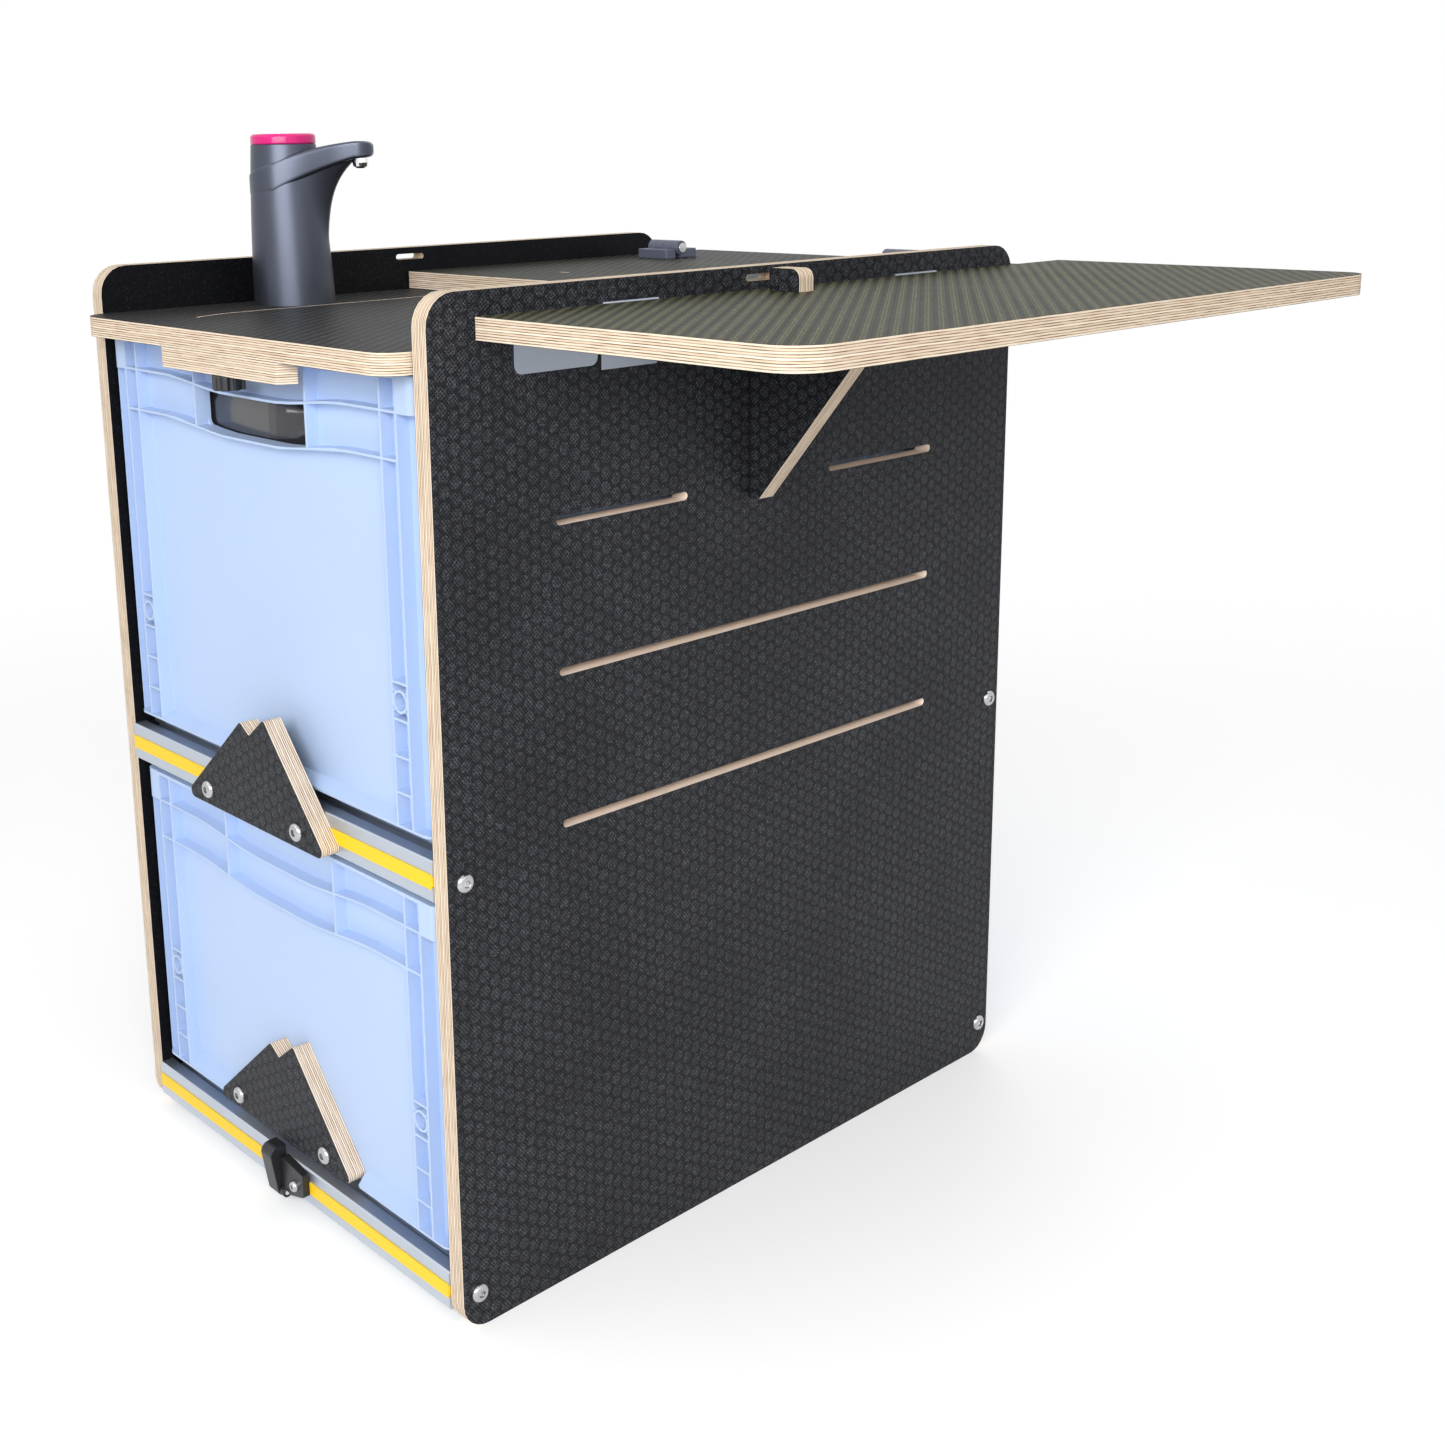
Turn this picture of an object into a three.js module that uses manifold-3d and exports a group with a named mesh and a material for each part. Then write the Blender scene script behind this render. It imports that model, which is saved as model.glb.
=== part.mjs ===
// Campervan kitchen pod: two plywood side panels joined by slotted rails, two stacking crates,
// a worktop with a lid and a water pump, and a side table on a folding bracket.
// Millimetres. +X runs to the side with the table, +Y to the back, +Z up.
import * as THREE from 'three';
import Module from 'manifold-3d';
import { mergeVertices } from 'three/addons/utils/BufferGeometryUtils.js';

const wasm = await Module();
wasm.setup();

// Driving dimensions
const POD_DEPTH = 600;
const POD_HEIGHT = 723;
const PLY = 15;
const CRATE_WIDTH = 400;
const CRATE_SIDE_GAP = 5;
const SEAT_GAP = 0.3;
const OVERRUN = 5;
const PANEL_CORNER_RADIUS = 22;

const RAIL_SIZE = 30;
const RAIL_SLOT_WIDTH = 8.2;
const RAIL_LIP = 2.2;
const RAIL_SLOT_CAVITY = 16.4;
const RAIL_SLOT_DEPTH = 8.4;
const RAIL_SLOT_FLOOR = 9;
const RAIL_EDGE = 1.2;
const RAIL_BORE_RADIUS = 3.6;
const RAIL_PROUD = 1.5;
const LOW_RAIL_HEIGHT = 27.6;
const MID_RAIL_HEIGHT = 335;
const STRIP_WIDTH = 10.5;
const STRIP_PROUD = 0.8;
const STRIP_STEM = 7.6;
const STRIP_DEPTH = 5;

const BOLT_HEAD_RADIUS = 7;
const BOLT_HEAD_HEIGHT = 4;
const SOCKET_SHARE = 0.38;
const DOME_FLAT_SHARE = 0.5;
const DOME_RIM_SHARE = 0.2;
const BOLT_SOCKET_DEPTH = 2.2;
const BOLT_SHANK_RADIUS = 3.3;
const BOLT_HOLE_RADIUS = 4.2;
const BOLT_GRIP = 22;

const STRAP_SLOT_HEIGHT = 6;
const STRAP_SLOT_START = 101;
const STRAP_SLOT_FROM_BACK = 102;
const STRAP_SLOT_TOP = 566;
const STRAP_SLOT_MIDDLE = 461.5;
const STRAP_SLOT_LOW = 352;
const STRAP_GAP_START = 223.5;
const STRAP_GAP_END = 374.5;
const LIP_SLOT_START = 283;
const LIP_SLOT_LENGTH = 30;
const LIP_SLOT_HEIGHT = 5;
const LIP_SLOT_BELOW_TOP = 8;

const WORKTOP_DROP = 36;
const WORKTOP_OVERHANG = 20;
const WORKTOP_SIDE_GAP = 1;
const WORKTOP_CORNER = 22;
const HATCH_INSET = 50;
const HATCH_FRONT = 330;
const HATCH_FROM_BACK = 75;
const HATCH_RADIUS = 15;
const STOP_HALF_WIDTH = 84;
const STOP_DEPTH = 13;
const STOP_SPLAY = 7;
const SEAM_WIDTH = 3;
const SEAM_DEPTH = 0.8;
const SEAM_START_X = -113;
const SEAM_START_Y = 30;
const SEAM_BEND_END = 75;
const SEAM_CLEARANCE = 3;
const KNOB_X = 2;
const KNOB_Y = -12;
const KNOB_RADIUS = 11.5;
const KNOB_LOBES = 8;
const KNOB_LOBE_RADIUS = 2.8;
const KNOB_HEIGHT = 10;
const KNOB_STUD_RADIUS = 3;
const KNOB_STUD_LENGTH = 9;

const LID_FRONT = 295;
const LID_SEAM_FROM_BACK = 44;
const LID_SEAM_GAP = 1;
const LID_SIDE_GAP = 1.5;
const REAR_BOARD_OVERHANG = 60;
const FINGER_SLOT_LENGTH = 14;
const FINGER_SLOT_WIDTH = 4;
const FINGER_SLOT_X = -74;
const FINGER_SLOT_Y = 366;

const LID_HINGE_FROM_SIDE = 61.5;
const LID_HINGE_WIDTH = 39;
const LID_HINGE_KNUCKLES = 4;
const LID_HINGE_LEAF = 20;
const LID_HINGE_LEAF_HEIGHT = 8.5;
const LID_HINGE_AXIS_HEIGHT = 9.5;
const LID_HINGE_BARREL = 6.8;
const LID_HINGE_CORNER = 1.5;
const LID_HINGE_PIN = 2.6;
const LID_HINGE_PIN_HEAD = 4.6;
const LID_HINGE_PIN_HEAD_HEIGHT = 1.6;
const HINGE_CLEARANCE = 0.3;

const TABLE_DROP = 16;
const TABLE_REACH = 275;
const TABLE_FRONT = 35;
const TABLE_OVERHANG = 61;
const TABLE_FRONT_CORNER = 25;
const TABLE_BACK_CORNER = 20;
const TABLE_HINGE_AXIS_OUT = 2.2;
const TABLE_HINGE_AXIS_DROP = 0.8;
const TABLE_HINGE_LEAF = 1;
const TABLE_HINGE_BARREL = 2;
const TABLE_HINGE_ROOM = 0.25;
const TABLE_HINGE_PIN = 0.9;
const TABLE_HINGE_LENGTH = 51;
const FRONT_HINGE_START = 143;
const REAR_HINGE_FROM_BACK = 154.5;
const TABLE_HINGE_KNUCKLES = 5;
const TABLE_HINGE_DROP = 44;
const CATCH_START = 67;
const CATCH_LENGTH = 71.5;
const CATCH_TABLE_GAP = 1;
const CATCH_HEIGHT = 24;
const CATCH_THICKNESS = 2.5;
const CATCH_RADIUS = 6;
const BLOCK_OUT = 20;
const BLOCK_LENGTH = 28;
const BLOCK_HEIGHT = 16;
const BLOCK_RADIUS = 7;
const BLOCK_FRONT = 286;

const BRACKET_FRONT = 286;
const BRACKET_REACH = 123;
const BRACKET_TIP = 9;
const BRACKET_DROP = 136;
const BRACKET_GAP = 1;
const BRACKET_TOP_GAP = 0.5;
const BRACKET_EDGE_ROUND = 2;
const BRACKET_HINGE_LENGTH = 105;
const BRACKET_HINGE_TOP_SETBACK = 11.5;
const BRACKET_HINGE_LEAF_WIDTH = 16;
const BRACKET_HINGE_KNUCKLES = 7;

const CRATE_FRONT = 4;
const LOW_CRATE_HEADROOM = 7.1;
const TOP_CRATE_HEADROOM = 1.7;
const TOP_CRATE_X = -2.5;
const CRATE_CORNER = 8;
const CRATE_POCKET = 10.3;
const CRATE_WALL = 2.5;
const CRATE_RIB = 2;
const CRATE_RIM = 3;
const CRATE_FOOT_HEIGHT = 10;
const CRATE_FOOT_INSET = 14;
const CRATE_FOOT_INNER = 70;
const CRATE_FLOOR = 2.5;
const CRATE_LIP = 2;
const CRATE_LEDGE = 6;
const CRATE_PLATE_ROOM = 0.8;
const CRATE_FIRST_RIB_DROP = 24.5;
const CRATE_FIRST_RIB_SAG = 7;
const CRATE_SECOND_RIB_DROP = 56;
const CRATE_SECOND_RIB_SAG = 7.5;
const CRATE_DIP_START = 30;
const CRATE_DIP_END = 125;
const CRATE_HANDLE_CORNER = 5;
const CRATE_DIVIDER = 75;
const CRATE_COLUMN_WIDTH = 17.5;
const CRATE_COLUMN_INSET = 19.5;
const CRATE_RUNG_START = 35.6;
const CRATE_RUNG_PITCH = 26;
const CRATE_RUNG_COUNT = 4;
const CRATE_BOSS_RADIUS = 8.5;
const CRATE_BOSS_WEBS = 4;
const CRATE_SIDE_BAYS = 5;
const CRATE_SIDE_END = 36;

const PLATE_HALF_BASE = 98;
const PLATE_HEIGHT = 87;
const PLATE_HIGH_PEAK = 23;
const PLATE_NOTCH = 2;
const PLATE_NOTCH_HEIGHT = 70;
const PLATE_LOW_PEAK = 10;
const PLATE_LOW_HEIGHT = 78;
const PLATE_RADIUS = 5;
const PLATE_BOLT_SPREAD = 61.5;
const PLATE_BOLT_HEIGHT = 12.5;
const TOP_PLATE_X = 3;
const LOW_PLATE_X = -10;
const LOW_PLATE_BOTTOM = 53.5;
const PLATE_BOLT_TIP = 7;
const T_NUT_WIDTH = 13;
const LOCK_NUT_WIDTH = 10;
const NUT_THICKNESS = 3;

const LATCH_BASE_RIGHT = 28;
const LATCH_BASE_BOTTOM = 21;
const LATCH_BASE_SPLAY = 9;
const LATCH_BASE_TOP = 40;
const LATCH_BASE_THICKNESS = 6.5;
const LATCH_BASE_ROUND = 2;
const LATCH_LEVER_LEFT = -17;
const LATCH_LEVER_WIDTH = 14;
const LATCH_CRATE_GAP = 0.6;
const LATCH_LEVER_THICKNESS = 14;
const LATCH_LEVER_RADIUS = 7;
const LATCH_LEVER_FOOT_RADIUS = 4.5;
const LATCH_RAIL_GAP = 1;
const LATCH_PIN_HEIGHT = 14.5;
const LATCH_PIN_RADIUS = 2;
const LATCH_EAR_WIDTH = 6;
const LATCH_EAR_RADIUS = 4;
const LATCH_SCREW_X = 17.5;
const LATCH_SCREW_RADIUS = 4.6;

const CANISTER_WIDTH = 222;
const CANISTER_DEPTH = 181;
const CANISTER_HEADROOM = 31.9;
const CANISTER_RADIUS = 34;
const CANISTER_BEVEL = 12;
const CANISTER_NECK_RADIUS = 21;
const CANISTER_CLEARANCE = 2;

const PUMP_FROM_SIDE = 43.5;
const PUMP_Y = 149.5;
const PUMP_BASE_RADIUS = 33;
const PUMP_TOP_RADIUS = 26;
const PUMP_HEIGHT = 127;
const PUMP_LEAN = 3;
const PUMP_SPIGOT_RADIUS = 20;
const PUMP_HOLE_CLEARANCE = 2;
const PUMP_RING_HEIGHT = 8;
const PUMP_RING_ROUND = 2;
const PUMP_RING_WIDTH = 5;
const PUMP_SPOUT_TURN = THREE.MathUtils.degToRad(45);
const PUMP_SPOUT_REACH = 70;
const PUMP_SPOUT_TOP = 128.3;
const PUMP_SPOUT_THICKNESS = 13.5;
const PUMP_SPOUT_TIP_RADIUS = 13;
const PUMP_SASH_RADIUS = 28.4;
const PUMP_SASH_RISE = 26;
const PUMP_SASH_DEPTH = 27;
const PUMP_KEEL_REACH = 56;
const PUMP_KEEL_FOOT = 46;
const PUMP_KEEL_ROOT_WIDTH = 40;
const PUMP_KEEL_END_WIDTH = 16;
const NOZZLE_RADIUS = 6.5;
const NOZZLE_ROUND = 3;
const NOZZLE_BORE = 3.6;
const NOZZLE_DROP = 8;
const NOZZLE_SEAT = 3;
const NOZZLE_SETBACK = 11;
const BUTTON_TRAVEL = 1.5;
const BUTTON_DISH = 0.8;
const BUTTON_SET_BACK = 0.6;
const BUTTON_THICKNESS = 4;

const ROUND_STEPS = 6;
const DOME_STEPS = 3;
const CRATE_DIP_STEPS = 8;
const BARREL_SIDES = 16;
const BOLT_SIDES = 12;
const LOBE_SIDES = 10;
const BODY_SIDES = 32;

// Levels and places worked out from the driving dimensions
const CRATE_HALF = CRATE_WIDTH / 2;
const PANEL_INNER = CRATE_HALF + CRATE_SIDE_GAP;
const PANEL_OUTER = PANEL_INNER + PLY;
const RAIL_Y = RAIL_SIZE / 2 - RAIL_PROUD;
const RAIL_FRONT = -RAIL_PROUD;
const REAR_RAIL_Y = POD_DEPTH - RAIL_Y;
const WORKTOP_TOP = POD_HEIGHT - WORKTOP_DROP;
const WORKTOP_BOTTOM = WORKTOP_TOP - PLY;
const LID_BOTTOM = WORKTOP_TOP + SEAT_GAP;
const LID_TOP = LID_BOTTOM + PLY;
const TABLE_TOP = POD_HEIGHT - TABLE_DROP;
const TABLE_BOTTOM = TABLE_TOP - PLY;
const CATCH_BOTTOM = TABLE_BOTTOM - CATCH_TABLE_GAP - CATCH_HEIGHT;
const TABLE_AXIS_X = PANEL_OUTER + TABLE_HINGE_AXIS_OUT;
const TABLE_AXIS_Z = TABLE_TOP - TABLE_HINGE_AXIS_DROP;
const TABLE_INNER = TABLE_AXIS_X + TABLE_HINGE_BARREL + TABLE_HINGE_ROOM;
const TABLE_OUTER = PANEL_OUTER + TABLE_REACH;
const TABLE_BACK = POD_DEPTH + TABLE_OVERHANG;
const LID_SEAM = POD_DEPTH - LID_SEAM_FROM_BACK;
const HATCH_BACK = POD_DEPTH - HATCH_FROM_BACK;
const STRAP_SLOT_END = POD_DEPTH - STRAP_SLOT_FROM_BACK;
const REAR_HINGE_START = POD_DEPTH - REAR_HINGE_FROM_BACK;
const REAR_BOARD_BACK = POD_DEPTH + REAR_BOARD_OVERHANG;
const LID_HINGE_X = PANEL_INNER - LID_HINGE_FROM_SIDE;
const HATCH_HALF_WIDTH = CRATE_HALF - HATCH_INSET;
const PUMP_X = -PANEL_INNER + PUMP_FROM_SIDE;
const CRATE_LENGTH = POD_DEPTH - CRATE_FRONT;
const CRATE_SHELL = CRATE_POCKET + CRATE_WALL;
const LOW_CRATE_LEVEL = LOW_RAIL_HEIGHT + RAIL_SIZE / 2 + SEAT_GAP;
const TOP_CRATE_LEVEL = MID_RAIL_HEIGHT + RAIL_SIZE / 2 + SEAT_GAP;
const LOW_CRATE_HEIGHT = MID_RAIL_HEIGHT - RAIL_SIZE / 2 - LOW_CRATE_LEVEL - LOW_CRATE_HEADROOM;
const TOP_CRATE_HEIGHT = WORKTOP_BOTTOM - TOP_CRATE_LEVEL - TOP_CRATE_HEADROOM;
const CRATE_COLUMN_OUTER = CRATE_HALF - CRATE_COLUMN_INSET;
const CRATE_COLUMN_INNER = CRATE_COLUMN_OUTER - CRATE_COLUMN_WIDTH;
const CRATE_BOSS_HEIGHT = CRATE_RUNG_START + (CRATE_RUNG_COUNT - 1.5) * CRATE_RUNG_PITCH;
const CANISTER_LEVEL = TOP_CRATE_LEVEL + CRATE_FOOT_HEIGHT + CRATE_FLOOR + SEAT_GAP;
const CANISTER_HEIGHT = WORKTOP_BOTTOM - CANISTER_HEADROOM - CANISTER_LEVEL;

const materials = {
  film: material('#17171a', 0.5, 0),
  ply: material('#c9a57a', 0.6, 0),
  aluminium: material('#a9acb0', 0.35, 0.9),
  strip: material('#f6a800', 0.45, 0),
  steel: material('#c4c6c8', 0.25, 1),
  crate: material('#93abd3', 0.5, 0),
  blackPlastic: material('#1b1c1e', 0.45, 0),
  greyPlastic: material('#4b4f58', 0.5, 0),
  greyMetal: material('#a5abb5', 0.35, 0.6),
  pumpBody: material('#34363d', 0.45, 0),
  ring: material('#c2185b', 0.3, 0),
  canister: material('#15161a', 0.25, 0),
};

function material(colour, roughness, metalness) {
  return new THREE.MeshStandardMaterial({ color: colour, roughness, metalness });
}

// A closed mesh as a solid
function solid(geometry) {
  const bare = geometry.clone();
  bare.deleteAttribute('normal');
  bare.deleteAttribute('uv');
  const merged = mergeVertices(bare);
  return new wasm.Manifold(new wasm.Mesh({
    numProp: 3,
    vertProperties: new Float32Array(merged.attributes.position.array),
    triVerts: new Uint32Array(merged.index.array),
  }));
}

function geometryOf(body) {
  const mesh = body.getMesh();
  const geometry = new THREE.BufferGeometry();
  geometry.setAttribute('position', new THREE.BufferAttribute(mesh.vertProperties, 3));
  geometry.setIndex(new THREE.BufferAttribute(mesh.triVerts, 1));
  geometry.computeVertexNormals();
  return geometry;
}

function cutBy(body, cutters) {
  return cutters.reduce((rest, cutter) => rest.subtract(cutter), body);
}

// Two stations of an axis, the lower one first
function ordered(a, b) {
  return a < b ? [a, b] : [b, a];
}

function addPart(group, name, body, look) {
  const part = new THREE.Mesh(geometryOf(body), look);
  part.name = name;
  group.add(part);
  return part;
}

const FRONT_VIEW = new THREE.Matrix4().makeRotationX(Math.PI / 2);
const SIDE_VIEW = new THREE.Matrix4().makeBasis(
  new THREE.Vector3(0, 1, 0), new THREE.Vector3(0, 0, 1), new THREE.Vector3(1, 0, 0));

function extruded(shape, depth) {
  return new THREE.ExtrudeGeometry(shape, { depth, bevelEnabled: false, curveSegments: ROUND_STEPS });
}

// A plan outline carried upwards from the level z
function upwards(shape, z, height) {
  return solid(extruded(shape, height).translate(0, 0, z));
}

// An outline in X and Z carried backwards from y
function backwards(shape, y, depth) {
  return solid(extruded(shape, depth).applyMatrix4(FRONT_VIEW).translate(0, y + depth, 0));
}

// An outline in Y and Z carried sideways from x
function sideways(shape, x, width) {
  return solid(extruded(shape, width).applyMatrix4(SIDE_VIEW).translate(x, 0, 0));
}

function box(x0, x1, y0, y1, z0, z1) {
  const geometry = new THREE.BoxGeometry(x1 - x0, y1 - y0, z1 - z0);
  return solid(geometry.translate((x0 + x1) / 2, (y0 + y1) / 2, (z0 + z1) / 2));
}

// A cylinder along 'x', 'y' or 'z' between two stations of that axis
function rod(axis, radius, from, to, a, b, sides = BARREL_SIDES) {
  const geometry = new THREE.CylinderGeometry(radius, radius, to - from, sides);
  const middle = (from + to) / 2;
  if (axis === 'x') {
    return solid(geometry.rotateZ(-Math.PI / 2).translate(middle, a, b));
  }
  if (axis === 'y') {
    return solid(geometry.translate(a, middle, b));
  }
  return solid(geometry.rotateX(Math.PI / 2).translate(a, b, middle));
}

// A rectangle with a radius of its own at each corner, from lower left anticlockwise
function roundedOutline(x0, x1, y0, y1, radii) {
  const corners = [[x0, y0], [x1, y0], [x1, y1], [x0, y1]];
  return filleted(corners, radii);
}

function filleted(points, radii) {
  const shape = new THREE.Shape();
  points.forEach((point, i) => {
    const here = new THREE.Vector2(...point);
    const before = new THREE.Vector2(...points[(i + points.length - 1) % points.length]);
    const after = new THREE.Vector2(...points[(i + 1) % points.length]);
    const radius = Array.isArray(radii) ? radii[i] : radii;
    const towards = before.sub(here).normalize();
    const away = after.sub(here).normalize();
    const half = Math.acos(THREE.MathUtils.clamp(towards.dot(away), -1, 1)) / 2;
    const reach = radius / Math.tan(half);
    const start = here.clone().addScaledVector(towards, reach);
    const end = here.clone().addScaledVector(away, reach);
    if (i === 0) {
      shape.moveTo(start.x, start.y);
    } else {
      shape.lineTo(start.x, start.y);
    }
    if (radius > 0) {
      const sweep = Math.PI - 2 * half;
      const share = (4 / 3) * Math.tan(sweep / 4) / Math.tan(sweep / 2);
      const leaving = start.clone().lerp(here, share);
      const arriving = end.clone().lerp(here, share);
      shape.bezierCurveTo(leaving.x, leaving.y, arriving.x, arriving.y, end.x, end.y);
    }
  });
  shape.closePath();
  return shape;
}

function slotOutline(x0, x1, y, height) {
  const radius = height / 2;
  const shape = new THREE.Shape();
  shape.moveTo(x0 + radius, y - radius);
  shape.lineTo(x1 - radius, y - radius);
  shape.absarc(x1 - radius, y, radius, -Math.PI / 2, Math.PI / 2, false);
  shape.lineTo(x0 + radius, y + radius);
  shape.absarc(x0 + radius, y, radius, Math.PI / 2, Math.PI * 3 / 2, false);
  return shape;
}

// Side panels: upright boards with rounded corners, bolt holes and strap slots
function sidePanel(x0, withStrapSlots) {
  const outline = roundedOutline(0, POD_DEPTH, 0, POD_HEIGHT, PANEL_CORNER_RADIUS);
  const cutters = [];
  for (const y of [RAIL_Y, REAR_RAIL_Y]) {
    for (const z of [LOW_RAIL_HEIGHT, MID_RAIL_HEIGHT]) {
      cutters.push(rod('x', BOLT_HOLE_RADIUS, x0 - OVERRUN, x0 + PLY + OVERRUN, y, z, BOLT_SIDES));
    }
  }
  const slots = [slotOutline(LIP_SLOT_START, LIP_SLOT_START + LIP_SLOT_LENGTH,
    POD_HEIGHT - LIP_SLOT_BELOW_TOP, LIP_SLOT_HEIGHT)];
  if (withStrapSlots) {
    slots.push(slotOutline(STRAP_SLOT_START, STRAP_GAP_START, STRAP_SLOT_TOP, STRAP_SLOT_HEIGHT));
    slots.push(slotOutline(STRAP_GAP_END, STRAP_SLOT_END, STRAP_SLOT_TOP, STRAP_SLOT_HEIGHT));
    for (const level of [STRAP_SLOT_MIDDLE, STRAP_SLOT_LOW]) {
      slots.push(slotOutline(STRAP_SLOT_START, STRAP_SLOT_END, level, STRAP_SLOT_HEIGHT));
    }
  }
  for (const slot of slots) {
    cutters.push(sideways(slot, x0 - OVERRUN, PLY + 2 * OVERRUN));
  }
  return cutBy(sideways(outline, x0, PLY), cutters);
}

// One quarter of the rail's section, from the middle of a face to the next corner
function railOutline() {
  const half = RAIL_SIZE / 2;
  const mouth = RAIL_SLOT_WIDTH / 2;
  const cavity = RAIL_SLOT_CAVITY / 2;
  const floor = half - RAIL_SLOT_DEPTH;
  const side = [
    [half - RAIL_EDGE, -half], [half, -half + RAIL_EDGE],
    [half, -mouth], [half - RAIL_LIP, -mouth], [half - RAIL_LIP, -cavity],
    [floor + (cavity - RAIL_SLOT_FLOOR / 2) / 2, -cavity], [floor, -RAIL_SLOT_FLOOR / 2],
    [floor, RAIL_SLOT_FLOOR / 2], [floor + (cavity - RAIL_SLOT_FLOOR / 2) / 2, cavity],
    [half - RAIL_LIP, cavity], [half - RAIL_LIP, mouth], [half, mouth],
  ];
  const shape = new THREE.Shape();
  for (let turn = 0; turn < 4; turn += 1) {
    const angle = turn * Math.PI / 2;
    for (const [i, [a, b]] of side.entries()) {
      const x = a * Math.cos(angle) - b * Math.sin(angle);
      const y = a * Math.sin(angle) + b * Math.cos(angle);
      if (turn === 0 && i === 0) {
        shape.moveTo(x, y);
      } else {
        shape.lineTo(x, y);
      }
    }
  }
  const bore = new THREE.Path();
  bore.absarc(0, 0, RAIL_BORE_RADIUS, 0, Math.PI * 2, true);
  shape.holes.push(bore);
  return shape;
}

function rail(y, z) {
  const geometry = extruded(railOutline(), 2 * PANEL_INNER).applyMatrix4(SIDE_VIEW);
  return solid(geometry.translate(-PANEL_INNER, y, z));
}

// Coloured cover strip pressed into the front slot of a rail
function coverStrip(x0, x1, z) {
  const cap = box(x0, x1, RAIL_FRONT - STRIP_PROUD, RAIL_FRONT,
    z - STRIP_WIDTH / 2, z + STRIP_WIDTH / 2);
  const stem = box(x0, x1, RAIL_FRONT - STRIP_PROUD / 2, RAIL_FRONT + STRIP_DEPTH,
    z - STRIP_STEM / 2, z + STRIP_STEM / 2);
  return cap.add(stem);
}

// A button-head bolt on the Z axis: the head stands up from z = 0, the shank runs down
function boltSolid(headRadius, grip, nutWidth) {
  const profile = [new THREE.Vector2(0, BOLT_HEAD_HEIGHT)];
  const flat = headRadius * DOME_FLAT_SHARE;
  for (let i = 0; i <= DOME_STEPS; i += 1) {
    const angle = (i / DOME_STEPS) * Math.PI / 2;
    profile.push(new THREE.Vector2(flat + (headRadius - flat) * Math.sin(angle),
      BOLT_HEAD_HEIGHT * (DOME_RIM_SHARE + (1 - DOME_RIM_SHARE) * Math.cos(angle))));
  }
  profile.push(new THREE.Vector2(headRadius, 0));
  profile.push(new THREE.Vector2(BOLT_SHANK_RADIUS, 0));
  profile.push(new THREE.Vector2(BOLT_SHANK_RADIUS, -grip));
  profile.push(new THREE.Vector2(0, -grip));
  const turned = new THREE.LatheGeometry(profile.reverse(), BOLT_SIDES).rotateX(Math.PI / 2);
  const socketRadius = headRadius * SOCKET_SHARE;
  const socket = new THREE.CylinderGeometry(socketRadius, socketRadius, 2 * BOLT_SOCKET_DEPTH, 6)
    .rotateX(Math.PI / 2).translate(0, 0, BOLT_HEAD_HEIGHT);
  const bolt = solid(turned).subtract(solid(socket));
  if (nutWidth === 0) {
    return bolt;
  }
  const half = nutWidth / 2;
  return bolt.add(box(-half, half, -half, half, -grip, -grip + NUT_THICKNESS));
}

function placedBolt(group, name, body, position, direction) {
  const part = addPart(group, name, body, materials.steel);
  part.quaternion.setFromUnitVectors(new THREE.Vector3(0, 0, 1), direction);
  part.position.copy(position);
}

// Worktop: a board between the panels with a lip over the front, a hatch and the pump hole
function worktop() {
  const half = PANEL_INNER - WORKTOP_SIDE_GAP;
  const board = upwards(roundedOutline(-half, half, -WORKTOP_OVERHANG, POD_DEPTH,
    [WORKTOP_CORNER, WORKTOP_CORNER, 0, 0]), WORKTOP_BOTTOM, PLY);
  const hatch = upwards(roundedOutline(-HATCH_HALF_WIDTH, HATCH_HALF_WIDTH, HATCH_FRONT, HATCH_BACK,
    HATCH_RADIUS), WORKTOP_BOTTOM - OVERRUN, PLY + 2 * OVERRUN);
  const pumpHole = rod('z', PUMP_SPIGOT_RADIUS + PUMP_HOLE_CLEARANCE, WORKTOP_BOTTOM - OVERRUN,
    WORKTOP_TOP + OVERRUN, PUMP_X, PUMP_Y);
  return cutBy(board, [hatch, pumpHole, seamCutter()]);
}

// The routed seam in the worktop: a thin groove that bends past the pump's foot to the lid
function seamCutter() {
  const seamX = PUMP_X + PUMP_BASE_RADIUS + SEAM_CLEARANCE;
  const route = new THREE.Path();
  route.moveTo(SEAM_START_X, SEAM_START_Y);
  route.quadraticCurveTo(seamX, (SEAM_START_Y + SEAM_BEND_END) / 2, seamX, SEAM_BEND_END);
  route.lineTo(seamX, LID_FRONT + PLY);
  const points = route.getPoints(ROUND_STEPS);
  const left = [];
  const right = [];
  points.forEach((point, i) => {
    const before = points[Math.max(i - 1, 0)];
    const after = points[Math.min(i + 1, points.length - 1)];
    const along = after.clone().sub(before).normalize();
    const across = new THREE.Vector2(-along.y, along.x).multiplyScalar(SEAM_WIDTH / 2);
    left.push(point.clone().add(across));
    right.unshift(point.clone().sub(across));
  });
  return upwards(new THREE.Shape([...left, ...right]), WORKTOP_TOP - SEAM_DEPTH, SEAM_DEPTH + OVERRUN);
}

// The block under the worktop's lip that keeps the crate from sliding forwards
function stopBlock() {
  const front = -WORKTOP_OVERHANG;
  const back = front + STOP_DEPTH;
  const outline = new THREE.Shape([
    new THREE.Vector2(-STOP_HALF_WIDTH + STOP_SPLAY, front),
    new THREE.Vector2(STOP_HALF_WIDTH - STOP_SPLAY, front),
    new THREE.Vector2(STOP_HALF_WIDTH, back),
    new THREE.Vector2(-STOP_HALF_WIDTH, back),
  ]);
  const studHole = rod('z', KNOB_STUD_RADIUS + SEAT_GAP, WORKTOP_BOTTOM - PLY - OVERRUN,
    WORKTOP_BOTTOM - PLY + KNOB_STUD_LENGTH + SEAT_GAP, KNOB_X, KNOB_Y);
  return upwards(outline, WORKTOP_BOTTOM - PLY, PLY).subtract(studHole);
}

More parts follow.
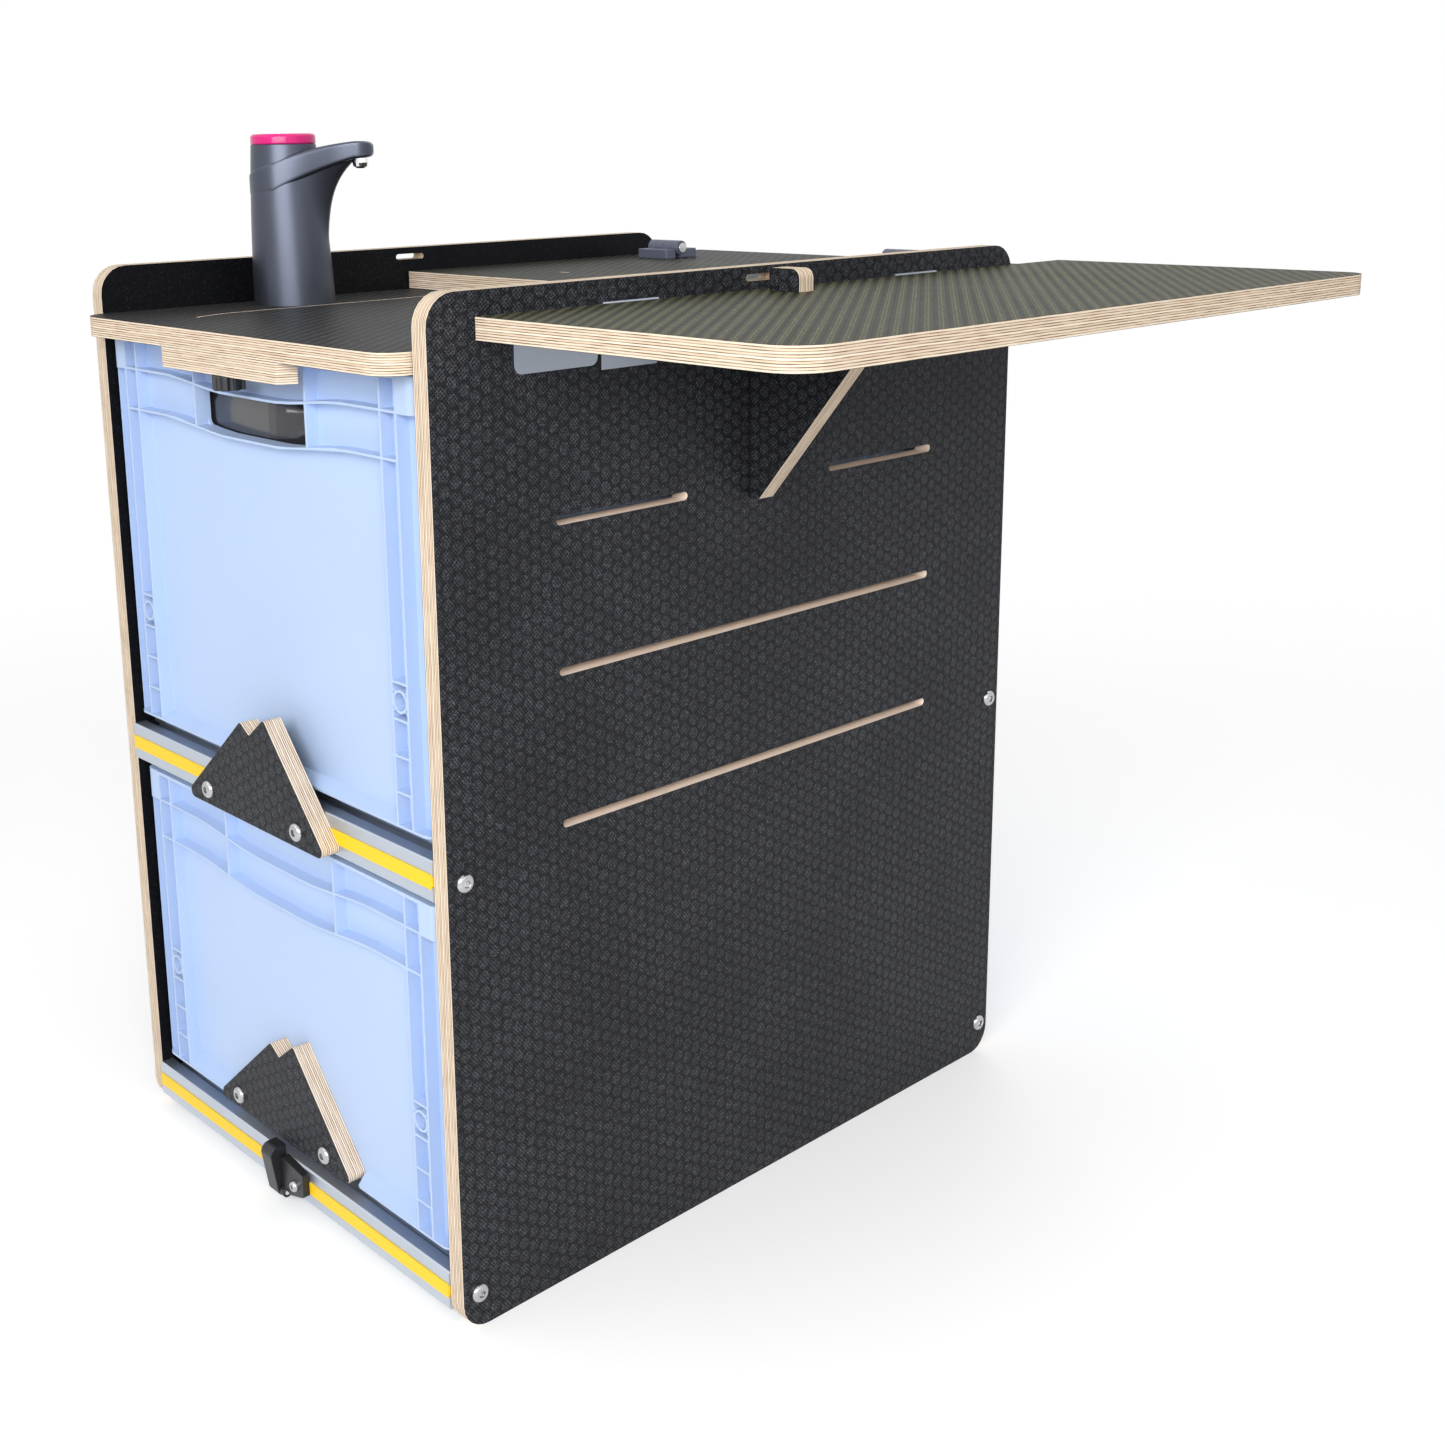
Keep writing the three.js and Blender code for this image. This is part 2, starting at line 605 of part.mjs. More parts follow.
function clampKnob() {
  const top = WORKTOP_BOTTOM - PLY - SEAT_GAP;
  let knob = rod('z', KNOB_RADIUS, top - KNOB_HEIGHT, top, KNOB_X, KNOB_Y, BODY_SIDES);
  const lobeCentre = KNOB_RADIUS + KNOB_LOBE_RADIUS / 4;
  for (let i = 0; i < KNOB_LOBES; i += 1) {
    const angle = (i + 0.5) * 2 * Math.PI / KNOB_LOBES;
    knob = knob.subtract(rod('z', KNOB_LOBE_RADIUS, top - KNOB_HEIGHT - OVERRUN, top + OVERRUN,
      KNOB_X + lobeCentre * Math.cos(angle), KNOB_Y + lobeCentre * Math.sin(angle), LOBE_SIDES));
  }
  const stud = rod('z', KNOB_STUD_RADIUS, top - KNOB_HEIGHT / 2, top + KNOB_STUD_LENGTH, KNOB_X, KNOB_Y);
  return knob.add(stud);
}

function lidBoard() {
  const half = PANEL_INNER - LID_SIDE_GAP;
  const board = box(-half, half, LID_FRONT, LID_SEAM - LID_SEAM_GAP / 2, LID_BOTTOM, LID_TOP);
  const fingerSlot = slotOutline(FINGER_SLOT_X - FINGER_SLOT_LENGTH / 2,
    FINGER_SLOT_X + FINGER_SLOT_LENGTH / 2, FINGER_SLOT_Y, FINGER_SLOT_WIDTH);
  return board.subtract(upwards(fingerSlot, LID_BOTTOM - OVERRUN, PLY + 2 * OVERRUN));
}

function rearBoard() {
  const half = PANEL_INNER - LID_SIDE_GAP;
  return box(-half, half, LID_SEAM + LID_SEAM_GAP / 2, REAR_BOARD_BACK, WORKTOP_TOP, LID_TOP);
}

// Lid hinges: two block leaves with two knuckles each round one pin
function lidHinge(group, side, x) {
  const axisZ = LID_TOP + LID_HINGE_AXIS_HEIGHT;
  const knuckle = LID_HINGE_WIDTH / LID_HINGE_KNUCKLES;
  const x0 = x - LID_HINGE_WIDTH / 2;
  const bore = rod('x', LID_HINGE_PIN + HINGE_CLEARANCE, x0 - OVERRUN, x0 + LID_HINGE_WIDTH + OVERRUN,
    LID_SEAM, axisZ);
  const makeLeaf = (direction, firstKnuckle) => {
    const near = LID_HINGE_BARREL + HINGE_CLEARANCE;
    const [y0, y1] = ordered(LID_SEAM + direction * near, LID_SEAM + direction * LID_HINGE_LEAF);
    let leaf = upwards(roundedOutline(x0, x0 + LID_HINGE_WIDTH, y0, y1, LID_HINGE_CORNER),
      LID_TOP, LID_HINGE_LEAF_HEIGHT);
    for (let i = firstKnuckle; i < LID_HINGE_KNUCKLES; i += 2) {
      const from = x0 + i * knuckle + HINGE_CLEARANCE / 2;
      const to = from + knuckle - HINGE_CLEARANCE;
      const barrel = rod('x', LID_HINGE_BARREL, from, to, LID_SEAM, axisZ);
      const reach = direction * (near + LID_HINGE_CORNER);
      const strap = box(from, to, ...ordered(LID_SEAM, LID_SEAM + reach), LID_TOP + HINGE_CLEARANCE,
        LID_TOP + LID_HINGE_LEAF_HEIGHT);
      leaf = leaf.add(barrel).add(strap);
    }
    return leaf.subtract(bore);
  };
  addPart(group, `lid_hinge_${side}_front_leaf`, makeLeaf(-1, 0), materials.greyPlastic);
  addPart(group, `lid_hinge_${side}_rear_leaf`, makeLeaf(1, 1), materials.greyPlastic);
  const head = LID_HINGE_PIN_HEAD_HEIGHT;
  const pin = rod('x', LID_HINGE_PIN, x0 - head / 2, x0 + LID_HINGE_WIDTH + head / 2, LID_SEAM, axisZ)
    .add(rod('x', LID_HINGE_PIN_HEAD, x0 + LID_HINGE_WIDTH + SEAT_GAP,
      x0 + LID_HINGE_WIDTH + SEAT_GAP + head, LID_SEAM, axisZ));
  addPart(group, `lid_hinge_${side}_pin`, pin, materials.steel);
}

// Side table: a board with rounded outer corners, hinged at its top inner edge
function sideTable() {
  const outline = roundedOutline(TABLE_INNER, TABLE_OUTER, TABLE_FRONT, TABLE_BACK,
    [0, TABLE_FRONT_CORNER, TABLE_BACK_CORNER, 0]);
  return upwards(outline, TABLE_BOTTOM, PLY);
}

function tableBlock() {
  const x0 = PANEL_OUTER + BLOCK_OUT;
  const outline = roundedOutline(x0, x0 + BLOCK_LENGTH, TABLE_TOP, TABLE_TOP + BLOCK_HEIGHT,
    [0, 0, BLOCK_RADIUS, BLOCK_RADIUS / 3]);
  return backwards(outline, BLOCK_FRONT, PLY);
}

// Table hinges: a leaf on the panel, a leaf on the end of the board, knuckles along the top
function tableHinge(group, place, y0) {
  const knuckle = TABLE_HINGE_LENGTH / TABLE_HINGE_KNUCKLES;
  const bore = rod('y', TABLE_HINGE_PIN + HINGE_CLEARANCE / 2, y0 - OVERRUN,
    y0 + TABLE_HINGE_LENGTH + OVERRUN, TABLE_AXIS_X, TABLE_AXIS_Z);
  const makeLeaf = (onTable) => {
    const plateX = onTable ? TABLE_INNER - TABLE_HINGE_LEAF : PANEL_OUTER;
    const bottom = onTable ? TABLE_BOTTOM : TABLE_TOP - TABLE_HINGE_DROP;
    const plateTop = TABLE_AXIS_Z - TABLE_HINGE_BARREL - TABLE_HINGE_ROOM;
    let leaf = box(plateX, plateX + TABLE_HINGE_LEAF, y0, y0 + TABLE_HINGE_LENGTH, bottom, plateTop);
    for (let i = onTable ? 1 : 0; i < TABLE_HINGE_KNUCKLES; i += 2) {
      const from = y0 + i * knuckle + HINGE_CLEARANCE / 2;
      const to = from + knuckle - HINGE_CLEARANCE;
      const strap = box(plateX, plateX + TABLE_HINGE_LEAF, from, to, plateTop - TABLE_HINGE_LEAF,
        TABLE_AXIS_Z);
      const plateEdge = onTable ? plateX + TABLE_HINGE_LEAF : plateX;
      const bridge = box(...ordered(TABLE_AXIS_X, plateEdge), from, to,
        TABLE_AXIS_Z - TABLE_HINGE_LEAF, TABLE_AXIS_Z);
      leaf = leaf.add(strap).add(bridge)
        .add(rod('y', TABLE_HINGE_BARREL, from, to, TABLE_AXIS_X, TABLE_AXIS_Z, BOLT_SIDES));
    }
    return leaf.subtract(bore);
  };
  addPart(group, `table_hinge_${place}_panel_leaf`, makeLeaf(false), materials.greyMetal);
  addPart(group, `table_hinge_${place}_table_leaf`, makeLeaf(true), materials.greyMetal);
  addPart(group, `table_hinge_${place}_pin`, rod('y', TABLE_HINGE_PIN, y0, y0 + TABLE_HINGE_LENGTH,
    TABLE_AXIS_X, TABLE_AXIS_Z, BOLT_SIDES), materials.steel);
}

function catchPlate() {
  const outline = roundedOutline(CATCH_START, CATCH_START + CATCH_LENGTH, CATCH_BOTTOM,
    CATCH_BOTTOM + CATCH_HEIGHT, [CATCH_RADIUS, CATCH_RADIUS, 0, 0]);
  return sideways(outline, PANEL_OUTER, CATCH_THICKNESS);
}

// Bracket under the table: a plywood knee that swings back flat against the panel
const BRACKET_AXIS_X = PANEL_OUTER + TABLE_HINGE_AXIS_OUT;
const BRACKET_BACK = BRACKET_FRONT + PLY;
const BRACKET_AXIS_Y = BRACKET_BACK + TABLE_HINGE_LEAF / 2;
const BRACKET_TOP = TABLE_BOTTOM - BRACKET_TOP_GAP;
const BRACKET_HINGE_TOP = BRACKET_TOP - BRACKET_HINGE_TOP_SETBACK;

function bracket() {
  const inner = PANEL_OUTER + BRACKET_GAP;
  const outline = filleted([
    [inner, BRACKET_TOP - BRACKET_DROP], [inner + BRACKET_TIP, BRACKET_TOP - BRACKET_DROP],
    [inner + BRACKET_REACH, BRACKET_TOP], [inner, BRACKET_TOP],
  ], [0, BRACKET_EDGE_ROUND, BRACKET_EDGE_ROUND, 0]);
  const knuckleRoom = rod('z', TABLE_HINGE_BARREL + SEAT_GAP, BRACKET_TOP - BRACKET_DROP - OVERRUN,
    BRACKET_TOP + OVERRUN, BRACKET_AXIS_X, BRACKET_AXIS_Y);
  return backwards(outline, BRACKET_FRONT, PLY).subtract(knuckleRoom);
}

function bracketHinge(group) {
  const z0 = BRACKET_HINGE_TOP - BRACKET_HINGE_LENGTH;
  const knuckle = BRACKET_HINGE_LENGTH / BRACKET_HINGE_KNUCKLES;
  const bore = rod('z', TABLE_HINGE_PIN + HINGE_CLEARANCE / 2, z0 - OVERRUN,
    BRACKET_HINGE_TOP + OVERRUN, BRACKET_AXIS_X, BRACKET_AXIS_Y);
  const thickness = TABLE_HINGE_LEAF;
  const room = TABLE_HINGE_BARREL + SEAT_GAP;
  const makeLeaf = (onBracket) => {
    const start = onBracket ? BRACKET_AXIS_X + room : BRACKET_AXIS_Y + room;
    let leaf = onBracket
      ? box(start, start + BRACKET_HINGE_LEAF_WIDTH, BRACKET_BACK, BRACKET_BACK + thickness,
        z0, BRACKET_HINGE_TOP)
      : box(PANEL_OUTER, PANEL_OUTER + thickness, start, start + BRACKET_HINGE_LEAF_WIDTH,
        z0, BRACKET_HINGE_TOP);
    for (let i = onBracket ? 1 : 0; i < BRACKET_HINGE_KNUCKLES; i += 2) {
      const from = z0 + i * knuckle + HINGE_CLEARANCE / 2;
      const to = from + knuckle - HINGE_CLEARANCE;
      const strap = onBracket
        ? box(BRACKET_AXIS_X, start + thickness, BRACKET_BACK, BRACKET_BACK + thickness, from, to)
        : box(PANEL_OUTER, PANEL_OUTER + thickness, BRACKET_AXIS_Y, start + thickness, from, to);
      leaf = leaf.add(strap)
        .add(rod('z', TABLE_HINGE_BARREL, from, to, BRACKET_AXIS_X, BRACKET_AXIS_Y, BOLT_SIDES));
    }
    return leaf.subtract(bore);
  };
  addPart(group, 'bracket_hinge_panel_leaf', makeLeaf(false), materials.greyMetal);
  addPart(group, 'bracket_hinge_bracket_leaf', makeLeaf(true), materials.greyMetal);
  addPart(group, 'bracket_hinge_pin', rod('z', TABLE_HINGE_PIN, z0, BRACKET_HINGE_TOP,
    BRACKET_AXIS_X, BRACKET_AXIS_Y, BOLT_SIDES), materials.steel);
}

// Crate end: pockets between ribs, drawn in X and in height above the crate's base
function ribEdges(height) {
  const rib = CRATE_RIB / 2;
  const edge = (level, sag) => ({ level, sag });
  return {
    lip: edge(CRATE_FOOT_HEIGHT + CRATE_LIP, 0),
    secondLow: edge(height - CRATE_SECOND_RIB_DROP - rib, CRATE_SECOND_RIB_SAG),
    secondTop: edge(height - CRATE_SECOND_RIB_DROP + rib, CRATE_SECOND_RIB_SAG),
    firstLow: edge(height - CRATE_FIRST_RIB_DROP - rib, CRATE_FIRST_RIB_SAG),
    firstTop: edge(height - CRATE_FIRST_RIB_DROP + rib, CRATE_FIRST_RIB_SAG),
    rim: edge(height - CRATE_RIM, 0),
  };
}

// A pocket's corners; an edge with a sag dips by it in the middle of the crate
function pocketPoints(x0, x1, low, high) {
  const points = [];
  const follow = (edge, from, to) => {
    const steps = edge.sag > 0 ? CRATE_DIP_STEPS : 1;
    for (let i = 0; i <= steps; i += 1) {
      const x = from + (to - from) * i / steps;
      const rise = THREE.MathUtils.smoothstep(Math.abs(x), CRATE_DIP_START, CRATE_DIP_END);
      points.push([x, edge.level - edge.sag * (1 - rise)]);
    }
  };
  follow(low, x0, x1);
  follow(high, x1, x0);
  return points;
}

function pocketOutline(x0, x1, low, high) {
  return filleted(pocketPoints(x0, x1, low, high), 0);
}

function endPockets(height) {
  const rib = CRATE_RIB / 2;
  const { lip, secondLow, secondTop, firstLow, firstTop, rim } = ribEdges(height);
  const inner = CRATE_COLUMN_INNER - rib;
  const pockets = [pocketOutline(-inner, inner, lip, secondLow)];
  const spans = [
    [-inner, -CRATE_DIVIDER - rib], [-CRATE_DIVIDER + rib, CRATE_DIVIDER - rib],
    [CRATE_DIVIDER + rib, inner],
  ];
  for (const [x0, x1] of spans) {
    pockets.push(pocketOutline(x0, x1, firstTop, rim));
    pockets.push(pocketOutline(x0, x1, secondTop, firstLow));
  }
  const rungs = Array.from({ length: CRATE_RUNG_COUNT }, (_, i) => CRATE_RUNG_START + i * CRATE_RUNG_PITCH);
  const levels = [lip.level - rib, ...rungs, height - CRATE_SECOND_RIB_DROP,
    height - CRATE_FIRST_RIB_DROP, rim.level + rib];
  const straight = (level) => ({ level, sag: 0 });
  for (const side of [-1, 1]) {
    const [x0, x1] = ordered(side * (CRATE_COLUMN_INNER + rib), side * (CRATE_COLUMN_OUTER - rib));
    for (let i = 0; i + 1 < levels.length; i += 1) {
      pockets.push(pocketOutline(x0, x1, straight(levels[i] + rib), straight(levels[i + 1] - rib)));
    }
    const [x2, x3] = ordered(side * (CRATE_COLUMN_OUTER + rib), side * (CRATE_HALF - CRATE_RIB));
    pockets.push(pocketOutline(x2, x3, lip, straight(firstLow.level)));
  }
  return pockets;
}

function handleOutline(height) {
  const half = CRATE_DIVIDER - CRATE_RIB / 2;
  const { secondTop, firstLow } = ribEdges(height);
  const points = pocketPoints(-half, half, secondTop, firstLow);
  const lowCorners = [0, CRATE_DIP_STEPS];
  return filleted(points, points.map((_, i) => (lowCorners.includes(i) ? CRATE_HANDLE_CORNER : 0)));
}

// The round boss with short webs in the corner columns
function columnBoss(x, y0, depth) {
  const ring = new THREE.Shape();
  ring.absarc(x, CRATE_BOSS_HEIGHT, CRATE_BOSS_RADIUS, 0, Math.PI * 2, false);
  const hole = new THREE.Path();
  hole.absarc(x, CRATE_BOSS_HEIGHT, CRATE_BOSS_RADIUS - CRATE_RIB, 0, Math.PI * 2, true);
  ring.holes.push(hole);
  let boss = backwards(ring, y0, depth);
  const reach = CRATE_COLUMN_WIDTH / 2 * Math.SQRT2 - CRATE_BOSS_RADIUS + CRATE_RIB;
  for (let i = 0; i < CRATE_BOSS_WEBS; i += 1) {
    const angle = (i + 0.5) * 2 * Math.PI / CRATE_BOSS_WEBS;
    const web = new THREE.BoxGeometry(reach, depth, CRATE_RIB / 2);
    web.translate(CRATE_BOSS_RADIUS - CRATE_RIB / 2 + reach / 2, 0, 0);
    web.rotateY(-angle).translate(x, y0 + depth / 2, CRATE_BOSS_HEIGHT);
    boss = boss.add(solid(web));
  }
  return boss;
}

// The sloping ledge at the foot of an end's middle pocket
function endLedge(front, direction) {
  const lip = CRATE_FOOT_HEIGHT + CRATE_LIP;
  const back = front + direction * (CRATE_POCKET + CRATE_WALL / 2);
  const slope = new THREE.Shape([
    new THREE.Vector2(front, lip - CRATE_LIP / 2), new THREE.Vector2(back, lip - CRATE_LIP / 2),
    new THREE.Vector2(back, lip + CRATE_LEDGE), new THREE.Vector2(front, lip),
  ]);
  return sideways(slope, -CRATE_COLUMN_INNER, 2 * CRATE_COLUMN_INNER);
}

// Room for the plate that is bolted on the front of the lower crate, with its bolt holes
function plateRoom() {
  const half = PLATE_HALF_BASE + CRATE_PLATE_ROOM;
  const bottom = LOW_PLATE_BOTTOM - LOW_CRATE_LEVEL;
  const outline = new THREE.Shape([
    new THREE.Vector2(LOW_PLATE_X - half, -OVERRUN), new THREE.Vector2(LOW_PLATE_X + half, -OVERRUN),
    new THREE.Vector2(LOW_PLATE_X + half, bottom),
    new THREE.Vector2(LOW_PLATE_X + PLATE_HIGH_PEAK + CRATE_PLATE_ROOM, bottom + PLATE_HEIGHT),
    new THREE.Vector2(LOW_PLATE_X - PLATE_LOW_PEAK - CRATE_PLATE_ROOM, bottom + PLATE_LOW_HEIGHT),
    new THREE.Vector2(LOW_PLATE_X - half, bottom),
  ]);
  const cutters = [backwards(outline, -OVERRUN, OVERRUN + CRATE_POCKET)];
  for (const side of [-1, 1]) {
    cutters.push(rod('y', BOLT_HOLE_RADIUS, 0, CRATE_SHELL + OVERRUN,
      LOW_PLATE_X + side * PLATE_BOLT_SPREAD, bottom + PLATE_BOLT_HEIGHT, BOLT_SIDES));
  }
  return cutters;
}

// Pockets along a crate's two long sides, in bays between upright ribs
function sidePockets(height) {
  const bay = (CRATE_LENGTH - 2 * CRATE_SIDE_END) / CRATE_SIDE_BAYS;
  const rib = CRATE_RIB / 2;
  const { lip, secondLow, secondTop, firstLow, firstTop, rim } = ribEdges(height);
  const rows = [[lip, secondLow], [secondTop, firstLow], [firstTop, rim]];
  const pockets = [];
  for (let i = 0; i < CRATE_SIDE_BAYS; i += 1) {
    const y0 = CRATE_SIDE_END + i * bay + rib;
    const y1 = CRATE_SIDE_END + (i + 1) * bay - rib;
    for (const [low, high] of rows) {
      for (const side of [-1, 1]) {
        const [x0, x1] = ordered(side * (CRATE_HALF - CRATE_POCKET), side * (CRATE_HALF + OVERRUN));
        pockets.push(box(x0, x1, y0, y1, low.level, high.level));
      }
    }
  }
  return pockets;
}

// Stacking crate, standing on z = 0 with its front on y = 0
function crate(height, openHandle, lastCutters) {
  const shell = upwards(roundedOutline(-CRATE_HALF, CRATE_HALF, 0, CRATE_LENGTH, CRATE_CORNER),
    CRATE_FOOT_HEIGHT, height - CRATE_FOOT_HEIGHT);
  const cavity = upwards(roundedOutline(-CRATE_HALF + CRATE_SHELL, CRATE_HALF - CRATE_SHELL,
    CRATE_SHELL, CRATE_LENGTH - CRATE_SHELL, CRATE_CORNER), CRATE_FOOT_HEIGHT + CRATE_FLOOR, height);
  const cutters = [cavity, ...sidePockets(height)];
  for (const outline of endPockets(height)) {
    cutters.push(backwards(outline, -OVERRUN, OVERRUN + CRATE_POCKET));
    cutters.push(backwards(outline, CRATE_LENGTH - CRATE_POCKET, OVERRUN + CRATE_POCKET));
  }
  if (openHandle) {
    cutters.push(backwards(handleOutline(height), -OVERRUN, CRATE_LENGTH + 2 * OVERRUN));
  }
  let body = cutBy(shell, cutters).add(endLedge(0, 1)).add(endLedge(CRATE_LENGTH, -1));
  const columnMiddle = (CRATE_COLUMN_INNER + CRATE_COLUMN_OUTER) / 2;
  const bossDepth = CRATE_POCKET + CRATE_WALL / 2;
  for (const side of [-1, 1]) {
    const [x0, x1] = ordered(side * CRATE_FOOT_INNER, side * (CRATE_HALF - CRATE_FOOT_INSET));
    body = body.add(box(x0, x1, CRATE_FOOT_INSET, CRATE_LENGTH - CRATE_FOOT_INSET, 0,
      CRATE_FOOT_HEIGHT + CRATE_FLOOR / 2));
    body = body.add(columnBoss(side * columnMiddle, 0, bossDepth));
    body = body.add(columnBoss(side * columnMiddle, CRATE_LENGTH - bossDepth, bossDepth));
  }
  return cutBy(body, lastCutters);
}

// Outline of a plate with a high peak, a low peak and a notch between them
function plateOutline(centreX, bottom) {
  return filleted([
    [centreX - PLATE_HALF_BASE, bottom], [centreX + PLATE_HALF_BASE, bottom],
    [centreX + PLATE_HIGH_PEAK, bottom + PLATE_HEIGHT],
    [centreX + PLATE_NOTCH, bottom + PLATE_NOTCH_HEIGHT],
    [centreX - PLATE_LOW_PEAK, bottom + PLATE_LOW_HEIGHT],
  ], [PLATE_RADIUS, PLATE_RADIUS, PLATE_RADIUS / 2, PLATE_RADIUS / 2, PLATE_RADIUS / 2]);
}

// Plywood plate with two bolt holes
function peakedPlate(centreX, bottom, front) {
  const holes = [-1, 1].map((side) => rod('y', BOLT_HOLE_RADIUS, front - OVERRUN, front + PLY + OVERRUN,
    centreX + side * PLATE_BOLT_SPREAD, bottom + PLATE_BOLT_HEIGHT, BOLT_SIDES));
  return cutBy(backwards(plateOutline(centreX, bottom), front, PLY), holes);
}

// Latch on the bottom rail: a base, a screw, and a lever that drops forwards on its pin
const LATCH_BASE_FRONT = RAIL_FRONT - LATCH_BASE_THICKNESS;
const LATCH_LEVER_BACK = RAIL_FRONT - LATCH_RAIL_GAP;
const LATCH_PIN_Y = LATCH_LEVER_BACK - LATCH_LEVER_FOOT_RADIUS;
const LATCH_LEVER_RIGHT = LATCH_LEVER_LEFT + LATCH_LEVER_WIDTH;
const LATCH_LEVER_TOP = LOW_CRATE_LEVEL + CRATE_FOOT_HEIGHT - LATCH_CRATE_GAP;
const LATCH_EAR_LEFT = LATCH_LEVER_RIGHT + SEAT_GAP;

function latchLever() {
  const front = LATCH_LEVER_BACK - LATCH_LEVER_THICKNESS;
  const radius = LATCH_LEVER_RADIUS;
  const foot = LATCH_LEVER_FOOT_RADIUS;
  const shape = new THREE.Shape();
  shape.moveTo(LATCH_LEVER_BACK, LATCH_PIN_HEIGHT);
  shape.lineTo(LATCH_LEVER_BACK, LATCH_LEVER_TOP);
  shape.lineTo(front + radius, LATCH_LEVER_TOP);
  shape.absarc(front + radius, LATCH_LEVER_TOP - radius, radius, Math.PI / 2, Math.PI, false);
  shape.lineTo(LATCH_PIN_Y - foot, LATCH_PIN_HEIGHT);
  shape.absarc(LATCH_PIN_Y, LATCH_PIN_HEIGHT, foot, Math.PI, 2 * Math.PI, false);
  const bore = rod('x', LATCH_PIN_RADIUS + SEAT_GAP, LATCH_LEVER_LEFT - OVERRUN,
    LATCH_LEVER_RIGHT + OVERRUN, LATCH_PIN_Y, LATCH_PIN_HEIGHT);
  return sideways(shape, LATCH_LEVER_LEFT, LATCH_LEVER_WIDTH).subtract(bore);
}

function latchBase() {
  const outline = filleted([
    [LATCH_EAR_LEFT, LATCH_BASE_BOTTOM - LATCH_BASE_SPLAY], [LATCH_BASE_RIGHT, LATCH_BASE_BOTTOM],
    [LATCH_BASE_RIGHT, LATCH_BASE_TOP], [LATCH_EAR_LEFT, LATCH_BASE_TOP + LATCH_BASE_SPLAY / 2],
  ], LATCH_BASE_ROUND);
  const plate = backwards(outline, LATCH_BASE_FRONT, LATCH_BASE_THICKNESS);
  const earRight = LATCH_EAR_LEFT + LATCH_EAR_WIDTH;
  const ear = rod('x', LATCH_EAR_RADIUS, LATCH_EAR_LEFT, earRight, LATCH_PIN_Y, LATCH_PIN_HEIGHT)
    .add(box(LATCH_EAR_LEFT, earRight, LATCH_PIN_Y, RAIL_FRONT, LATCH_PIN_HEIGHT,
      LATCH_PIN_HEIGHT + LATCH_EAR_RADIUS));
  const pinBore = rod('x', LATCH_PIN_RADIUS + SEAT_GAP, LATCH_EAR_LEFT - OVERRUN,
    earRight + OVERRUN, LATCH_PIN_Y, LATCH_PIN_HEIGHT);
  const screwHole = rod('y', BOLT_SHANK_RADIUS + SEAT_GAP, LATCH_BASE_FRONT - OVERRUN,
    RAIL_FRONT + OVERRUN, LATCH_SCREW_X, LOW_RAIL_HEIGHT);
  return plate.add(ear).subtract(pinBore).subtract(screwHole);
}

// Water canister: a rounded body with its neck under the pump
function canister() {
  const x0 = TOP_CRATE_X - CRATE_HALF + CRATE_SHELL + CANISTER_CLEARANCE;
  const y0 = CRATE_FRONT + CRATE_SHELL + CANISTER_CLEARANCE;
  const bevel = CANISTER_BEVEL;
  const outline = roundedOutline(x0 + bevel, x0 + CANISTER_WIDTH - bevel,
    y0 + bevel, y0 + CANISTER_DEPTH - bevel, CANISTER_RADIUS - bevel);
  const geometry = new THREE.ExtrudeGeometry(outline, {
    depth: CANISTER_HEIGHT - 2 * bevel, bevelEnabled: true, bevelThickness: bevel,
    bevelSize: bevel, bevelSegments: DOME_STEPS, curveSegments: ROUND_STEPS,
  }).translate(0, 0, CANISTER_LEVEL + bevel);
  const neck = rod('z', CANISTER_NECK_RADIUS, CANISTER_LEVEL + CANISTER_HEIGHT - bevel,
    WORKTOP_BOTTOM - SEAT_GAP, PUMP_X, PUMP_Y);
  return solid(geometry).add(neck);
}

// Water pump: a cone that leans back from its spout, with a button in a ring on top
function pumpBarrel() {
  const profile = [new THREE.Vector2(0, 0)];
  for (let i = 0; i <= ROUND_STEPS; i += 1) {
    const share = i / ROUND_STEPS;
    const taper = share * (2 + 3 * share) / 5;
    profile.push(new THREE.Vector2(PUMP_BASE_RADIUS - (PUMP_BASE_RADIUS - PUMP_TOP_RADIUS) * taper,
      PUMP_HEIGHT * share));
  }
  profile.push(new THREE.Vector2(0, PUMP_HEIGHT));
  const lean = new THREE.Matrix4().makeShear(0, 0, 0, 0, -PUMP_LEAN / PUMP_HEIGHT, 0);
  const cone = new THREE.LatheGeometry(profile, BODY_SIDES).rotateX(Math.PI / 2).applyMatrix4(lean);
  const spigot = rod('z', PUMP_SPIGOT_RADIUS, -PLY, SEAT_GAP, 0, 0, BODY_SIDES);
  return solid(cone).add(spigot);
}

